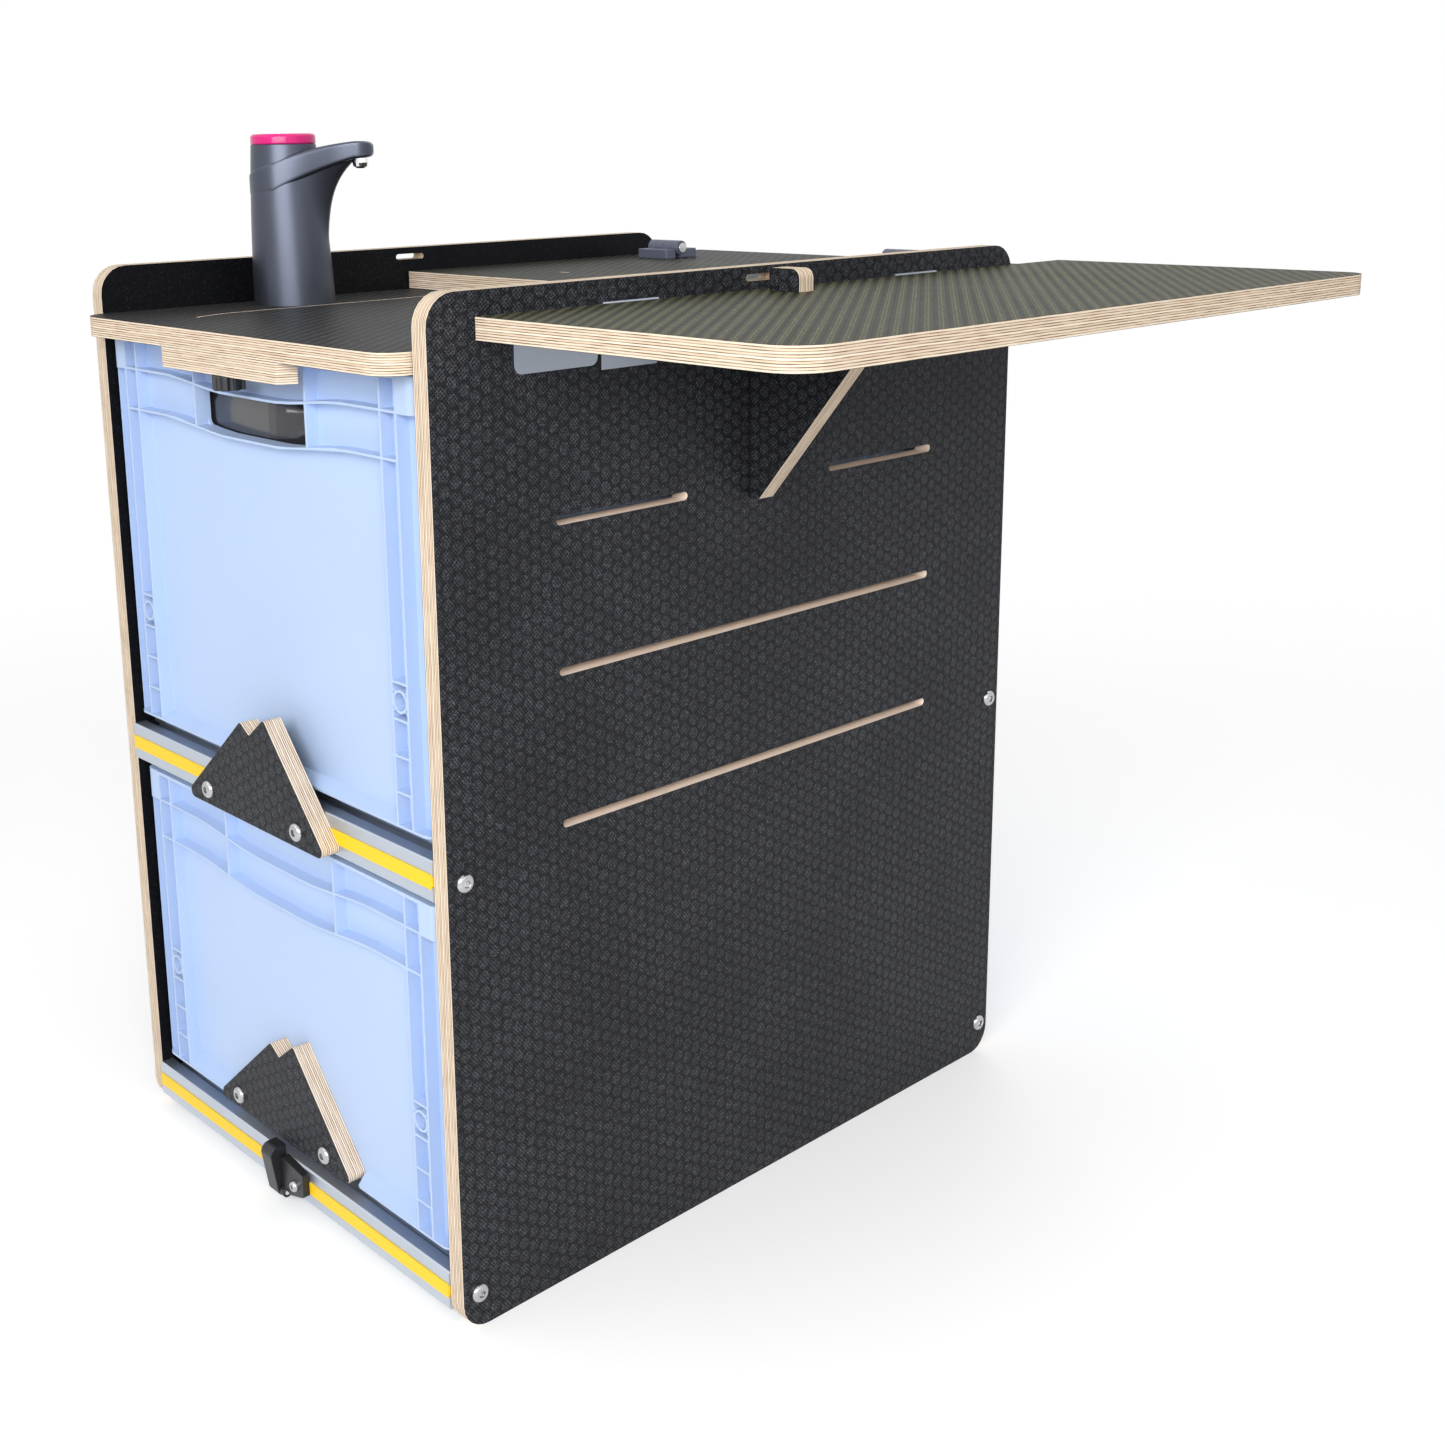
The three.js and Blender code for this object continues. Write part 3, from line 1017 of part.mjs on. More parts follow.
// The sash wraps the cone from behind and sweeps up into the spout, drawn from the side and in plan
function pumpSash() {
  const reach = PUMP_SPOUT_REACH;
  const top = PUMP_SPOUT_TOP;
  const low = top - PUMP_SPOUT_THICKNESS;
  const heel = -PUMP_SASH_RADIUS - PUMP_LEAN;
  const side = new THREE.Shape();
  side.moveTo(heel, top - PUMP_SASH_RISE);
  side.bezierCurveTo(heel * 2 / 3, top - PUMP_SASH_RISE * 3 / 5, reach / 3, top - PUMP_SASH_RISE / 10,
    reach - PUMP_SPOUT_TIP_RADIUS, top);
  side.lineTo(reach, top);
  side.lineTo(reach, low);
  side.lineTo(reach - PUMP_SPOUT_TIP_RADIUS, low);
  side.bezierCurveTo(reach / 2, low - PUMP_SASH_DEPTH / 5, reach / 7, low - PUMP_SASH_DEPTH * 2 / 3,
    heel / 4, low - PUMP_SASH_DEPTH);
  side.lineTo(heel, low - PUMP_SASH_DEPTH);
  const plan = new THREE.Shape();
  plan.absarc(-PUMP_LEAN, 0, PUMP_SASH_RADIUS, Math.PI / 2, Math.PI * 3 / 2, false);
  plan.bezierCurveTo(reach / 4, -PUMP_SASH_RADIUS, reach / 2, -PUMP_SPOUT_TIP_RADIUS,
    reach - PUMP_SPOUT_TIP_RADIUS, -PUMP_SPOUT_TIP_RADIUS);
  plan.absarc(reach - PUMP_SPOUT_TIP_RADIUS, 0, PUMP_SPOUT_TIP_RADIUS, -Math.PI / 2, Math.PI / 2, false);
  plan.bezierCurveTo(reach / 2, PUMP_SPOUT_TIP_RADIUS, reach / 4, PUMP_SASH_RADIUS,
    -PUMP_LEAN, PUMP_SASH_RADIUS);
  return backwards(side, -PUMP_SASH_RADIUS, 2 * PUMP_SASH_RADIUS).intersect(upwards(plan, 0, top));
}

// The narrower keel that carries the spout down into the cone
function pumpKeel() {
  const reach = PUMP_KEEL_REACH;
  const low = PUMP_SPOUT_TOP - PUMP_SPOUT_THICKNESS;
  const rise = low - PUMP_KEEL_FOOT;
  const side = new THREE.Shape();
  side.moveTo(0, PUMP_KEEL_FOOT);
  side.lineTo(PUMP_BASE_RADIUS - PUMP_LEAN, PUMP_KEEL_FOOT);
  side.bezierCurveTo(PUMP_BASE_RADIUS - PUMP_LEAN / 2, PUMP_KEEL_FOOT + rise * 3 / 5,
    reach - PUMP_KEEL_END_WIDTH, PUMP_KEEL_FOOT + rise * 4 / 5, reach, low);
  side.lineTo(reach, low + PUMP_SPOUT_THICKNESS / 2);
  side.lineTo(0, low + PUMP_SPOUT_THICKNESS / 2);
  const rootHalf = PUMP_KEEL_ROOT_WIDTH / 2;
  const endHalf = PUMP_KEEL_END_WIDTH / 2;
  const plan = new THREE.Shape();
  plan.moveTo(0, -rootHalf);
  plan.bezierCurveTo(reach / 2, -rootHalf, reach * 2 / 3, -endHalf, reach - endHalf, -endHalf);
  plan.absarc(reach - endHalf, 0, endHalf, -Math.PI / 2, Math.PI / 2, false);
  plan.bezierCurveTo(reach * 2 / 3, endHalf, reach / 2, rootHalf, 0, rootHalf);
  return backwards(side, -rootHalf, PUMP_KEEL_ROOT_WIDTH).intersect(upwards(plan, 0, PUMP_SPOUT_TOP));
}

const NOZZLE_X = PUMP_SPOUT_REACH - NOZZLE_SETBACK;
const NOZZLE_TOP = PUMP_SPOUT_TOP - PUMP_SPOUT_THICKNESS + NOZZLE_SEAT;
const NOZZLE_BOTTOM = PUMP_SPOUT_TOP - PUMP_SPOUT_THICKNESS - NOZZLE_DROP;

function pumpBody() {
  const seat = rod('z', NOZZLE_RADIUS + SEAT_GAP, NOZZLE_BOTTOM - PUMP_SASH_DEPTH, NOZZLE_TOP,
    NOZZLE_X, 0);
  return pumpBarrel().add(pumpSash()).add(pumpKeel()).subtract(seat);
}

function nozzle() {
  const profile = [
    new THREE.Vector2(0, NOZZLE_BOTTOM), new THREE.Vector2(NOZZLE_RADIUS - NOZZLE_ROUND, NOZZLE_BOTTOM),
    new THREE.Vector2(NOZZLE_RADIUS - NOZZLE_ROUND / 4, NOZZLE_BOTTOM + NOZZLE_ROUND / 2),
    new THREE.Vector2(NOZZLE_RADIUS, NOZZLE_BOTTOM + NOZZLE_ROUND * 3 / 2),
    new THREE.Vector2(NOZZLE_RADIUS, NOZZLE_TOP - SEAT_GAP), new THREE.Vector2(0, NOZZLE_TOP - SEAT_GAP),
  ];
  const outer = solid(new THREE.LatheGeometry(profile, BARREL_SIDES).rotateX(Math.PI / 2));
  const bore = rod('z', NOZZLE_BORE, NOZZLE_BOTTOM - OVERRUN, NOZZLE_BOTTOM + NOZZLE_DROP, NOZZLE_X, 0);
  return outer.translate([NOZZLE_X, 0, 0]).subtract(bore);
}

// Clear ring on top of the cone, round the push plate
function pumpRing() {
  const bottom = PUMP_HEIGHT;
  const top = bottom + PUMP_RING_HEIGHT;
  const inner = PUMP_TOP_RADIUS - PUMP_RING_WIDTH;
  const profile = [
    new THREE.Vector2(0, bottom), new THREE.Vector2(PUMP_TOP_RADIUS, bottom),
    new THREE.Vector2(PUMP_TOP_RADIUS, top - PUMP_RING_ROUND),
    new THREE.Vector2(PUMP_TOP_RADIUS - PUMP_RING_ROUND / 3, top - PUMP_RING_ROUND / 3),
    new THREE.Vector2(PUMP_TOP_RADIUS - PUMP_RING_ROUND, top), new THREE.Vector2(0, top),
  ];
  const ring = solid(new THREE.LatheGeometry(profile, BODY_SIDES).rotateX(Math.PI / 2));
  const well = rod('z', inner, top - BUTTON_THICKNESS - BUTTON_TRAVEL - BUTTON_SET_BACK - SEAT_GAP,
    top + OVERRUN, 0, 0, BODY_SIDES);
  return ring.subtract(well).translate([-PUMP_LEAN, 0, 0]);
}

function pumpButton() {
  const radius = PUMP_TOP_RADIUS - PUMP_RING_WIDTH - SEAT_GAP;
  const top = PUMP_HEIGHT + PUMP_RING_HEIGHT - BUTTON_SET_BACK;
  const bottom = top - BUTTON_THICKNESS;
  const profile = [
    new THREE.Vector2(0, bottom), new THREE.Vector2(radius, bottom), new THREE.Vector2(radius, top),
    new THREE.Vector2(radius / 2, top - BUTTON_DISH * 3 / 4), new THREE.Vector2(0, top - BUTTON_DISH),
  ];
  return solid(new THREE.LatheGeometry(profile, BODY_SIDES).rotateX(Math.PI / 2))
    .translate([-PUMP_LEAN, 0, 0]);
}

const pod = new THREE.Group();

addPart(pod, 'left_panel', sidePanel(-PANEL_OUTER, false), materials.film);
addPart(pod, 'right_panel', sidePanel(PANEL_INNER, true), materials.film);
addPart(pod, 'worktop', worktop(), materials.film);
addPart(pod, 'front_stop_block', stopBlock(), materials.ply);
addPart(pod, 'clamp_knob', clampKnob(), materials.blackPlastic);
addPart(pod, 'lid_board', lidBoard(), materials.film);
addPart(pod, 'rear_board', rearBoard(), materials.film);
lidHinge(pod, 'left', -LID_HINGE_X);
lidHinge(pod, 'right', LID_HINGE_X);

const rails = [
  ['front_low_rail', RAIL_Y, LOW_RAIL_HEIGHT], ['front_mid_rail', RAIL_Y, MID_RAIL_HEIGHT],
  ['rear_low_rail', REAR_RAIL_Y, LOW_RAIL_HEIGHT], ['rear_mid_rail', REAR_RAIL_Y, MID_RAIL_HEIGHT],
];
for (const [name, y, z] of rails) {
  addPart(pod, name, rail(y, z), materials.aluminium);
  for (const side of [-1, 1]) {
    const place = new THREE.Vector3(side * PANEL_OUTER, y, z);
    placedBolt(pod, `${name}_bolt_${side < 0 ? 'left' : 'right'}`,
      boltSolid(BOLT_HEAD_RADIUS, BOLT_GRIP, 0), place, new THREE.Vector3(side, 0, 0));
  }
}

const stripStart = PANEL_INNER - SEAT_GAP;
const topPlateBottom = MID_RAIL_HEIGHT - PLATE_BOLT_HEIGHT;
const topPlateFront = RAIL_FRONT - PLY;
const behindPlate = backwards(plateOutline(TOP_PLATE_X, topPlateBottom), topPlateFront, PLY + RAIL_SIZE);
for (const [end, x0, x1] of [['left', -stripStart, TOP_PLATE_X], ['right', TOP_PLATE_X, stripStart]]) {
  addPart(pod, `mid_strip_${end}`, coverStrip(x0, x1, MID_RAIL_HEIGHT).subtract(behindPlate),
    materials.strip);
}
addPart(pod, 'low_strip_left', coverStrip(-stripStart, LATCH_LEVER_LEFT - SEAT_GAP, LOW_RAIL_HEIGHT),
  materials.strip);
addPart(pod, 'low_strip_right', coverStrip(LATCH_BASE_RIGHT + SEAT_GAP, stripStart, LOW_RAIL_HEIGHT),
  materials.strip);

addPart(pod, 'top_stop_plate', peakedPlate(TOP_PLATE_X, topPlateBottom, topPlateFront), materials.film);
const lowPlateFront = CRATE_FRONT + CRATE_POCKET - PLY;
const cratePlateGrip = PLY + CRATE_WALL + SEAT_GAP + NUT_THICKNESS;
addPart(pod, 'crate_front_plate', peakedPlate(LOW_PLATE_X, LOW_PLATE_BOTTOM, lowPlateFront),
  materials.film);
for (const side of [-1, 1]) {
  const end = side < 0 ? 'left' : 'right';
  placedBolt(pod, `top_plate_bolt_${end}`, boltSolid(BOLT_HEAD_RADIUS, PLY + PLATE_BOLT_TIP, T_NUT_WIDTH),
    new THREE.Vector3(TOP_PLATE_X + side * PLATE_BOLT_SPREAD, topPlateFront, MID_RAIL_HEIGHT),
    new THREE.Vector3(0, -1, 0));
  placedBolt(pod, `crate_plate_bolt_${end}`, boltSolid(BOLT_HEAD_RADIUS, cratePlateGrip, LOCK_NUT_WIDTH),
    new THREE.Vector3(LOW_PLATE_X + side * PLATE_BOLT_SPREAD, lowPlateFront,
      LOW_PLATE_BOTTOM + PLATE_BOLT_HEIGHT), new THREE.Vector3(0, -1, 0));
}

const lowCrate = addPart(pod, 'low_crate', crate(LOW_CRATE_HEIGHT, false, plateRoom()), materials.crate);
lowCrate.position.set(0, CRATE_FRONT, LOW_CRATE_LEVEL);
const topCrate = addPart(pod, 'top_crate', crate(TOP_CRATE_HEIGHT, true, []), materials.crate);
topCrate.position.set(TOP_CRATE_X, CRATE_FRONT, TOP_CRATE_LEVEL);
addPart(pod, 'water_canister', canister(), materials.canister);

addPart(pod, 'side_table', sideTable(), materials.film);
addPart(pod, 'table_block', tableBlock(), materials.film);
tableHinge(pod, 'front', FRONT_HINGE_START);
tableHinge(pod, 'rear', REAR_HINGE_START);
addPart(pod, 'catch_plate', catchPlate(), materials.greyMetal);
addPart(pod, 'table_bracket', bracket(), materials.film);
bracketHinge(pod);

addPart(pod, 'latch_base', latchBase(), materials.blackPlastic);
addPart(pod, 'latch_lever', latchLever(), materials.blackPlastic);
addPart(pod, 'latch_pin', rod('x', LATCH_PIN_RADIUS, LATCH_LEVER_LEFT, LATCH_EAR_LEFT + LATCH_EAR_WIDTH,
  LATCH_PIN_Y, LATCH_PIN_HEIGHT), materials.steel);
placedBolt(pod, 'latch_screw', boltSolid(LATCH_SCREW_RADIUS, LATCH_BASE_THICKNESS + PLATE_BOLT_TIP,
  T_NUT_WIDTH), new THREE.Vector3(LATCH_SCREW_X, LATCH_BASE_FRONT, LOW_RAIL_HEIGHT),
new THREE.Vector3(0, -1, 0));

const pump = new THREE.Group();
addPart(pump, 'pump_body', pumpBody(), materials.pumpBody);
addPart(pump, 'pump_nozzle', nozzle(), materials.steel);
addPart(pump, 'pump_ring', pumpRing(), materials.ring);
addPart(pump, 'pump_button', pumpButton(), materials.pumpBody);
pump.position.set(PUMP_X, PUMP_Y, WORKTOP_TOP);
pump.rotation.z = PUMP_SPOUT_TURN;
pod.add(pump);

// The origin stands in the middle of the bounding box's base
pod.updateMatrixWorld(true);
const bounds = new THREE.Box3().setFromObject(pod);
const centre = bounds.getCenter(new THREE.Vector3());
pod.position.set(-centre.x, -centre.y, -bounds.min.z);

export default pod;
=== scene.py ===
"""Campervan kitchen pod: finishes, fine pieces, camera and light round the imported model."""

import logging
import math
from dataclasses import dataclass, replace
from enum import Enum

import bpy
import numpy as np
from mathutils import Matrix, Vector


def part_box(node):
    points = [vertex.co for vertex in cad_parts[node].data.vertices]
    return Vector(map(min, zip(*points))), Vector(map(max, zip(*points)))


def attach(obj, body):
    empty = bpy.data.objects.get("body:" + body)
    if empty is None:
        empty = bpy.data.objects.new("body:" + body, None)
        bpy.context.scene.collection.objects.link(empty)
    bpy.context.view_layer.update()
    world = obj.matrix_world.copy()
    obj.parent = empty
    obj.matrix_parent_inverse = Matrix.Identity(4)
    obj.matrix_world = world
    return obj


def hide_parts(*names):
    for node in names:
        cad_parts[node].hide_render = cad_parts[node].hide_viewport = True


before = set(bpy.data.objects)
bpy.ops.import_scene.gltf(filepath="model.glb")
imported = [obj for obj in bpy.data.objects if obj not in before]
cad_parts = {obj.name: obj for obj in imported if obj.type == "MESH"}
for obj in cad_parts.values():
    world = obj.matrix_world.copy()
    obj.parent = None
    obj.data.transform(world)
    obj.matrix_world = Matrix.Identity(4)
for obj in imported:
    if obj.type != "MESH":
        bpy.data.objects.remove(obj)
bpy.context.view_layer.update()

LOG = logging.getLogger("kitchen_pod")
PLY_THICKNESS = 0.015
UP = (0.0, 0.0, 1.0)
WHITE = (1.0, 1.0, 1.0)

Colour = tuple[float, float, float]
Point = tuple[float, float, float]
Pair = tuple[float, float]
Rows = list[Pair]
Faces = list[tuple[int, ...]]
Socket = bpy.types.NodeSocket
Material = bpy.types.Material


class Axis(Enum):
    """The direction that a board's thickness runs in."""

    X = 0
    Y = 1
    Z = 2


class Imprint(Enum):
    """The pattern pressed into a board's film."""

    HEXAGON = "hexagon"
    DIAGONAL = "diagonal"


def rgba(colour: Colour) -> tuple[float, float, float, float]:
    """Returns the colour with full alpha."""
    return (*colour, 1.0)


def shade(colour: Colour, factor: float) -> tuple[float, float, float, float]:
    """Returns the colour times a factor, each part at most 1, with full alpha."""
    return rgba(tuple(min(part * factor, 1.0) for part in colour))


class Graph:
    """The node tree of a new material or world, built node by node round its first shader."""

    def __init__(self, owner: Material | bpy.types.World) -> None:
        """Takes over the tree.

        Args:
            owner: what the tree belongs to.
        """
        owner.use_nodes = True
        self.owner = owner
        self.tree = owner.node_tree
        self.shader = next(n for n in self.tree.nodes if n.type in ("BSDF_PRINCIPLED", "BACKGROUND"))

    def node(self, kind: str, **settings: object) -> bpy.types.Node:
        """Adds a node and sets its properties.

        Args:
            kind: the node's Blender type.
            settings: properties by name.

        Returns:
            The new node.
        """
        made = self.tree.nodes.new(kind)
        for key, value in settings.items():
            setattr(made, key, value)
        return made

    def feed(self, socket: Socket, value: object) -> None:
        """Links a socket to a value, or sets it where the value is plain.

        Args:
            socket: the input.
            value: another node's output, or a plain value.
        """
        if isinstance(value, Socket):
            self.tree.links.new(value, socket)
        else:
            socket.default_value = value

    def calc(self, operation: str, *values: object, clamp: bool = False) -> Socket:
        """Adds a Math node.

        Args:
            operation: the Math node's operation.
            values: its inputs, sockets or numbers.
            clamp: whether the result is kept within 0 and 1.

        Returns:
            The node's output.
        """
        made = self.node("ShaderNodeMath", operation=operation, use_clamp=clamp)
        for socket, value in zip(made.inputs, values):
            self.feed(socket, value)
        return made.outputs[0]

    def span(self, value: object, low: float, high: float, start: float = 0.0, end: float = 1.0) -> Socket:
        """Carries a value from one range over to another, smoothly and clamped.

        Args:
            value: the value.
            low: the range's low end.
            high: its high end.
            start: the result at low.
            end: the result at high.

        Returns:
            The node's output.
        """
        made = self.node("ShaderNodeMapRange", interpolation_type="SMOOTHSTEP")
        for socket, item in zip(made.inputs, (value, low, high, start, end)):
            self.feed(socket, item)
        return made.outputs[0]

    def blend(self, share: object, first: object, second: object) -> Socket:
        """Mixes two colours.

        Args:
            share: 0 for the first colour to 1 for the second.
            first: a socket or a colour with alpha.
            second: a socket or a colour with alpha.

        Returns:
            The node's output.
        """
        made = self.node("ShaderNodeMix", data_type="RGBA")
        colours = [socket for socket in made.inputs if socket.type == "RGBA"]
        for socket, value in zip((made.inputs[0], *colours), (share, first, second)):
            self.feed(socket, value)
        return next(socket for socket in made.outputs if socket.type == "RGBA")

    def seen(self) -> Socket:
        """Returns 1 for camera, glossy and transmission rays, else 0."""
        rays = self.node("ShaderNodeLightPath").outputs
        clear = self.calc("MAXIMUM", rays["Is Glossy Ray"], rays["Is Transmission Ray"])
        return self.calc("MAXIMUM", rays["Is Camera Ray"], clear)

    def place(self) -> Socket:
        """Returns the Object coordinates."""
        return self.node("ShaderNodeTexCoord").outputs["Object"]

    def parts(self, vector: Socket) -> list[Socket]:
        """Splits a vector.

        Args:
            vector: the vector.

        Returns:
            Its three components.
        """
        made = self.node("ShaderNodeSeparateXYZ")
        self.feed(made.inputs[0], vector)
        return list(made.outputs)

    def stretched(self, vector: Socket, rates: Pair, axis: Axis) -> Socket:
        """Scales a vector, one axis apart from the others.

        Args:
            vector: the vector.
            rates: the factor along the axis, and the factor of the other two.
            axis: the axis.

        Returns:
            The scaled vector.
        """
        scale = [rates[1]] * 3
        scale[axis.value] = rates[0]
        made = self.node("ShaderNodeMapping")
        self.feed(made.inputs["Vector"], vector)
        made.inputs["Scale"].default_value = scale
        return made.outputs[0]

    def noise(self, vector: Socket, scale: float, detail: float = 2.0, roughness: float = 0.5) -> Socket:
        """Adds a Noise texture.

        Args:
            vector: where it is read.
            scale: its scale, per metre.
            detail: its number of octaves.
            roughness: the weight of each octave against the one before.

        Returns:
            Its value, from 0 to 1.
        """
        made = self.node("ShaderNodeTexNoise")
        self.feed(made.inputs["Vector"], vector)
        for key, value in (("Scale", scale), ("Detail", detail), ("Roughness", roughness)):
            made.inputs[key].default_value = value
        return made.outputs[0]

    def slanted(self, u: Socket, v: Socket, angle: float, pitch: float) -> Socket:
        """Measures along a slanting line, as (u cos(angle) + v sin(angle)) * 2 pi / pitch.

        Args:
            u: the first coordinate.
            v: the second coordinate.
            angle: the line's angle from u.
            pitch: the length of one wave.

        Returns:
            The phase in radians.
        """
        rate = 2.0 * math.pi / pitch
        return self.calc("ADD", self.calc("MULTIPLY", u, math.cos(angle) * rate),
                         self.calc("MULTIPLY", v, math.sin(angle) * rate))

    def swing(self, wave: Socket, middle: float, reach: float) -> Socket:
        """Carries a wave of 0 to 1 over to what lies within a reach of the middle."""
        return self.calc("MULTIPLY_ADD", wave, 2.0 * reach, middle - reach)

    def relief(self, height: Socket, depth: float, rounding: float = 0.0) -> None:
        """Bumps the shader's normal.

        Args:
            height: the height map, 0 to 1.
            depth: the depth in metres that a height of 1 stands for.
            rounding: the radius in metres by which edges are eased.
        """
        bump = self.node("ShaderNodeBump")
        bump.inputs["Distance"].default_value = depth
        self.feed(bump.inputs["Height"], height)
        if rounding > 0.0:
            eased = self.node("ShaderNodeBevel", samples=6)
            eased.inputs["Radius"].default_value = rounding
            self.feed(bump.inputs["Normal"], eased.outputs[0])
        self.feed(self.shader.inputs["Normal"], bump.outputs[0])

    def set(self, **values: object) -> None:
        """Feeds the shader's sockets, named in lower case with underscores for spaces."""
        for key, value in values.items():
            self.feed(self.shader.inputs[key.replace("_", " ").title().replace("Ior", "IOR")], value)


class Finish:
    """A look that becomes a material."""

    def material(self, name: str) -> Material:
        """Makes the look's material.

        Args:
            name: the material's name.

        Returns:
            The new material.
        """
        graph = Graph(bpy.data.materials.new(name))
        self.draw(graph)
        return graph.owner

    def draw(self, graph: Graph) -> None:
        """Adds the look's nodes to a graph."""
        raise NotImplementedError


@dataclass(frozen=True)
class BoardFinish(Finish):
    """Film-faced birch plywood: dark film on both faces and layered wood on every edge.

    The share across the thickness is (place - start) / thickness. Film lies where the share is within
    film_depth of either face, and elsewhere the share times the number of plies tells the layer. A rate
    is a texture's scale per metre. smooth_side is 1 or -1 where the face at the high or the low end has
    no print, and low and high are the corners of a board whose slot edges get a paler wood: painted
    light, standing for the light that reaches into them. The film's lighter glint colour is painted glint.
    """

    axis: Axis
    start: float
    imprint: Imprint
    film: Colour = (0.0035, 0.0038, 0.0050)
    # A lighter film colour where the net and the imprint rise: painted glints on real relief.
    painted_glint: Colour = (0.108, 0.112, 0.128)
    gloss: float = 0.12
    bare: bool = False
    smooth_side: int = 0
    low: Point | None = None
    high: Point | None = None
    light_wood: Colour = (0.90, 0.78, 0.63)
    dark_wood: Colour = (0.68, 0.51, 0.36)
    # Paler wood on slot and groove walls: painted light, standing for the light that reaches into them.
    painted_light_wood: Colour = (0.96, 0.84, 0.74)
    painted_light_share: float = 0.85
    painted_light_inset: float = 0.022
    glue: Colour = (0.17, 0.095, 0.05)
    plies: int = 9
    ply_sway: Pair = (14.0, 0.45)
    pore_rates: Pair = (2600.0, 420.0)
    streak_rates: Pair = (700.0, 55.0)
    blotch_rate: float = 60.0
    wood_rough: float = 0.62
    wood_rounding: float = 0.0004
    film_depth: float = 0.00016
    film_rough: Pair = (0.16, 0.36)
    film_rounding: float = 0.0005
    relief_depth: float = 0.00012
    haze_rate: float = 9.0
    grain_rate: float = 1100.0
    cell: float = 0.0105
    wire: float = 0.0021
    wire_relief: float = 0.35
    ridge: float = 0.0085
    slant: float = math.radians(38.0)
    rises: Pair = (0.62, 0.9)

    def draw(self, graph: Graph) -> None:
        """Adds the wood, and the film over it.

        Args:
            graph: the graph.
        """
        place = graph.place()
        axes = graph.parts(place)
        across = graph.calc("SUBTRACT", axes[self.axis.value], self.start)
        share = graph.calc("DIVIDE", across, PLY_THICKNESS)
        wood, wood_height = self._wood(graph, place, share)
        if self.bare:
            graph.set(base_color=wood, roughness=self.wood_rough)
            graph.relief(wood_height, self.relief_depth, self.wood_rounding)
            return
        off_middle = graph.calc("ABSOLUTE", graph.calc("SUBTRACT", share, 0.5))
        mask = graph.calc("GREATER_THAN", off_middle, 0.5 - self.film_depth / PLY_THICKNESS)
        film, film_height, film_rough = self._film(graph, place, axes, share)
        # Slot and groove walls get paler wood: painted light inside the recesses.
        if self.low is not None:
            wood = graph.blend(self._painted_light_mask(graph, axes), wood, rgba(self.painted_light_wood))
        over_wood = graph.calc("SUBTRACT", film_rough, self.wood_rough)
        graph.set(base_color=graph.blend(mask, wood, film), specular_ior_level=self.gloss,
                  roughness=graph.calc("MULTIPLY_ADD", mask, over_wood, self.wood_rough))
        film_part = graph.calc("MULTIPLY", film_height, mask)
        wood_part = graph.calc("MULTIPLY", wood_height, graph.calc("SUBTRACT", 1.0, mask))
        graph.relief(graph.calc("ADD", film_part, wood_part), self.relief_depth, self.film_rounding)

    def _wood(self, graph: Graph, place: Socket, share: Socket) -> tuple[Socket, Socket]:
        """Makes the plywood's edge: plies of changing tone, pores along them and dark joints.

        Args:
            graph: the graph.
            place: the Object coordinates.
            share: the share across the thickness.

        Returns:
            The colour and the height.
        """
        sway_rate, sway_depth = self.ply_sway
        sway = graph.calc("SUBTRACT", graph.noise(place, sway_rate), 0.5)
        level = graph.calc("ADD", graph.calc("MULTIPLY", share, float(self.plies)),
                           graph.calc("MULTIPLY", sway, sway_depth))
        layer = graph.calc("FLOOR", level)
        odd = graph.calc("FRACT", graph.calc("MULTIPLY", layer, 0.5))
        tone = graph.node("ShaderNodeTexWhiteNoise", noise_dimensions="1D")
        graph.feed(tone.inputs["W"], layer)
        pores = graph.noise(graph.stretched(place, self.pore_rates, self.axis), 1.0, 3.0, 0.7)
        blotch = graph.calc("SUBTRACT", graph.noise(place, self.blotch_rate, 3.0), 0.5)
        depth = graph.calc("MULTIPLY_ADD", odd, 0.9, graph.calc("MULTIPLY", tone.outputs[0], 0.35))
        depth = graph.calc("ADD", depth, graph.calc("MULTIPLY", graph.calc("SUBTRACT", pores, 0.5), 0.9))
        depth = graph.calc("ADD", depth, graph.calc("MULTIPLY", blotch, 0.6), clamp=True)
        wood = graph.blend(depth, rgba(self.light_wood), rgba(self.dark_wood))
        from_middle = graph.calc("ABSOLUTE", graph.calc("SUBTRACT", graph.calc("FRACT", level), 0.5))
        streak = graph.noise(graph.stretched(place, self.streak_rates, self.axis), 1.0)
        joint = graph.calc("MULTIPLY", graph.span(from_middle, 0.24, 0.40, 0.0, 0.95),
                           graph.span(streak, 0.35, 0.65, 0.5, 1.0))
        return graph.blend(joint, wood, rgba(self.glue)), graph.calc("SUBTRACT", pores, joint)

    def _painted_light_mask(self, graph: Graph, axes: list[Socket]) -> Socket:
        """Finds the edges of slots, which lie farther from the board's rim than the inset, where light is
        painted in.

        Args:
            graph: the graph.
            axes: the Object coordinates, one by one.

        Returns:
            The share of the paler, painted-light wood there, and 0 elsewhere.
        """
        share: object = self.painted_light_share
        for index, part in enumerate(axes):
            if index != self.axis.value:
                above = graph.calc("GREATER_THAN", part, self.low[index] + self.painted_light_inset)
                below = graph.calc("LESS_THAN", part, self.high[index] - self.painted_light_inset)
                share = graph.calc("MULTIPLY", graph.calc("MULTIPLY", above, below), share)
        return share

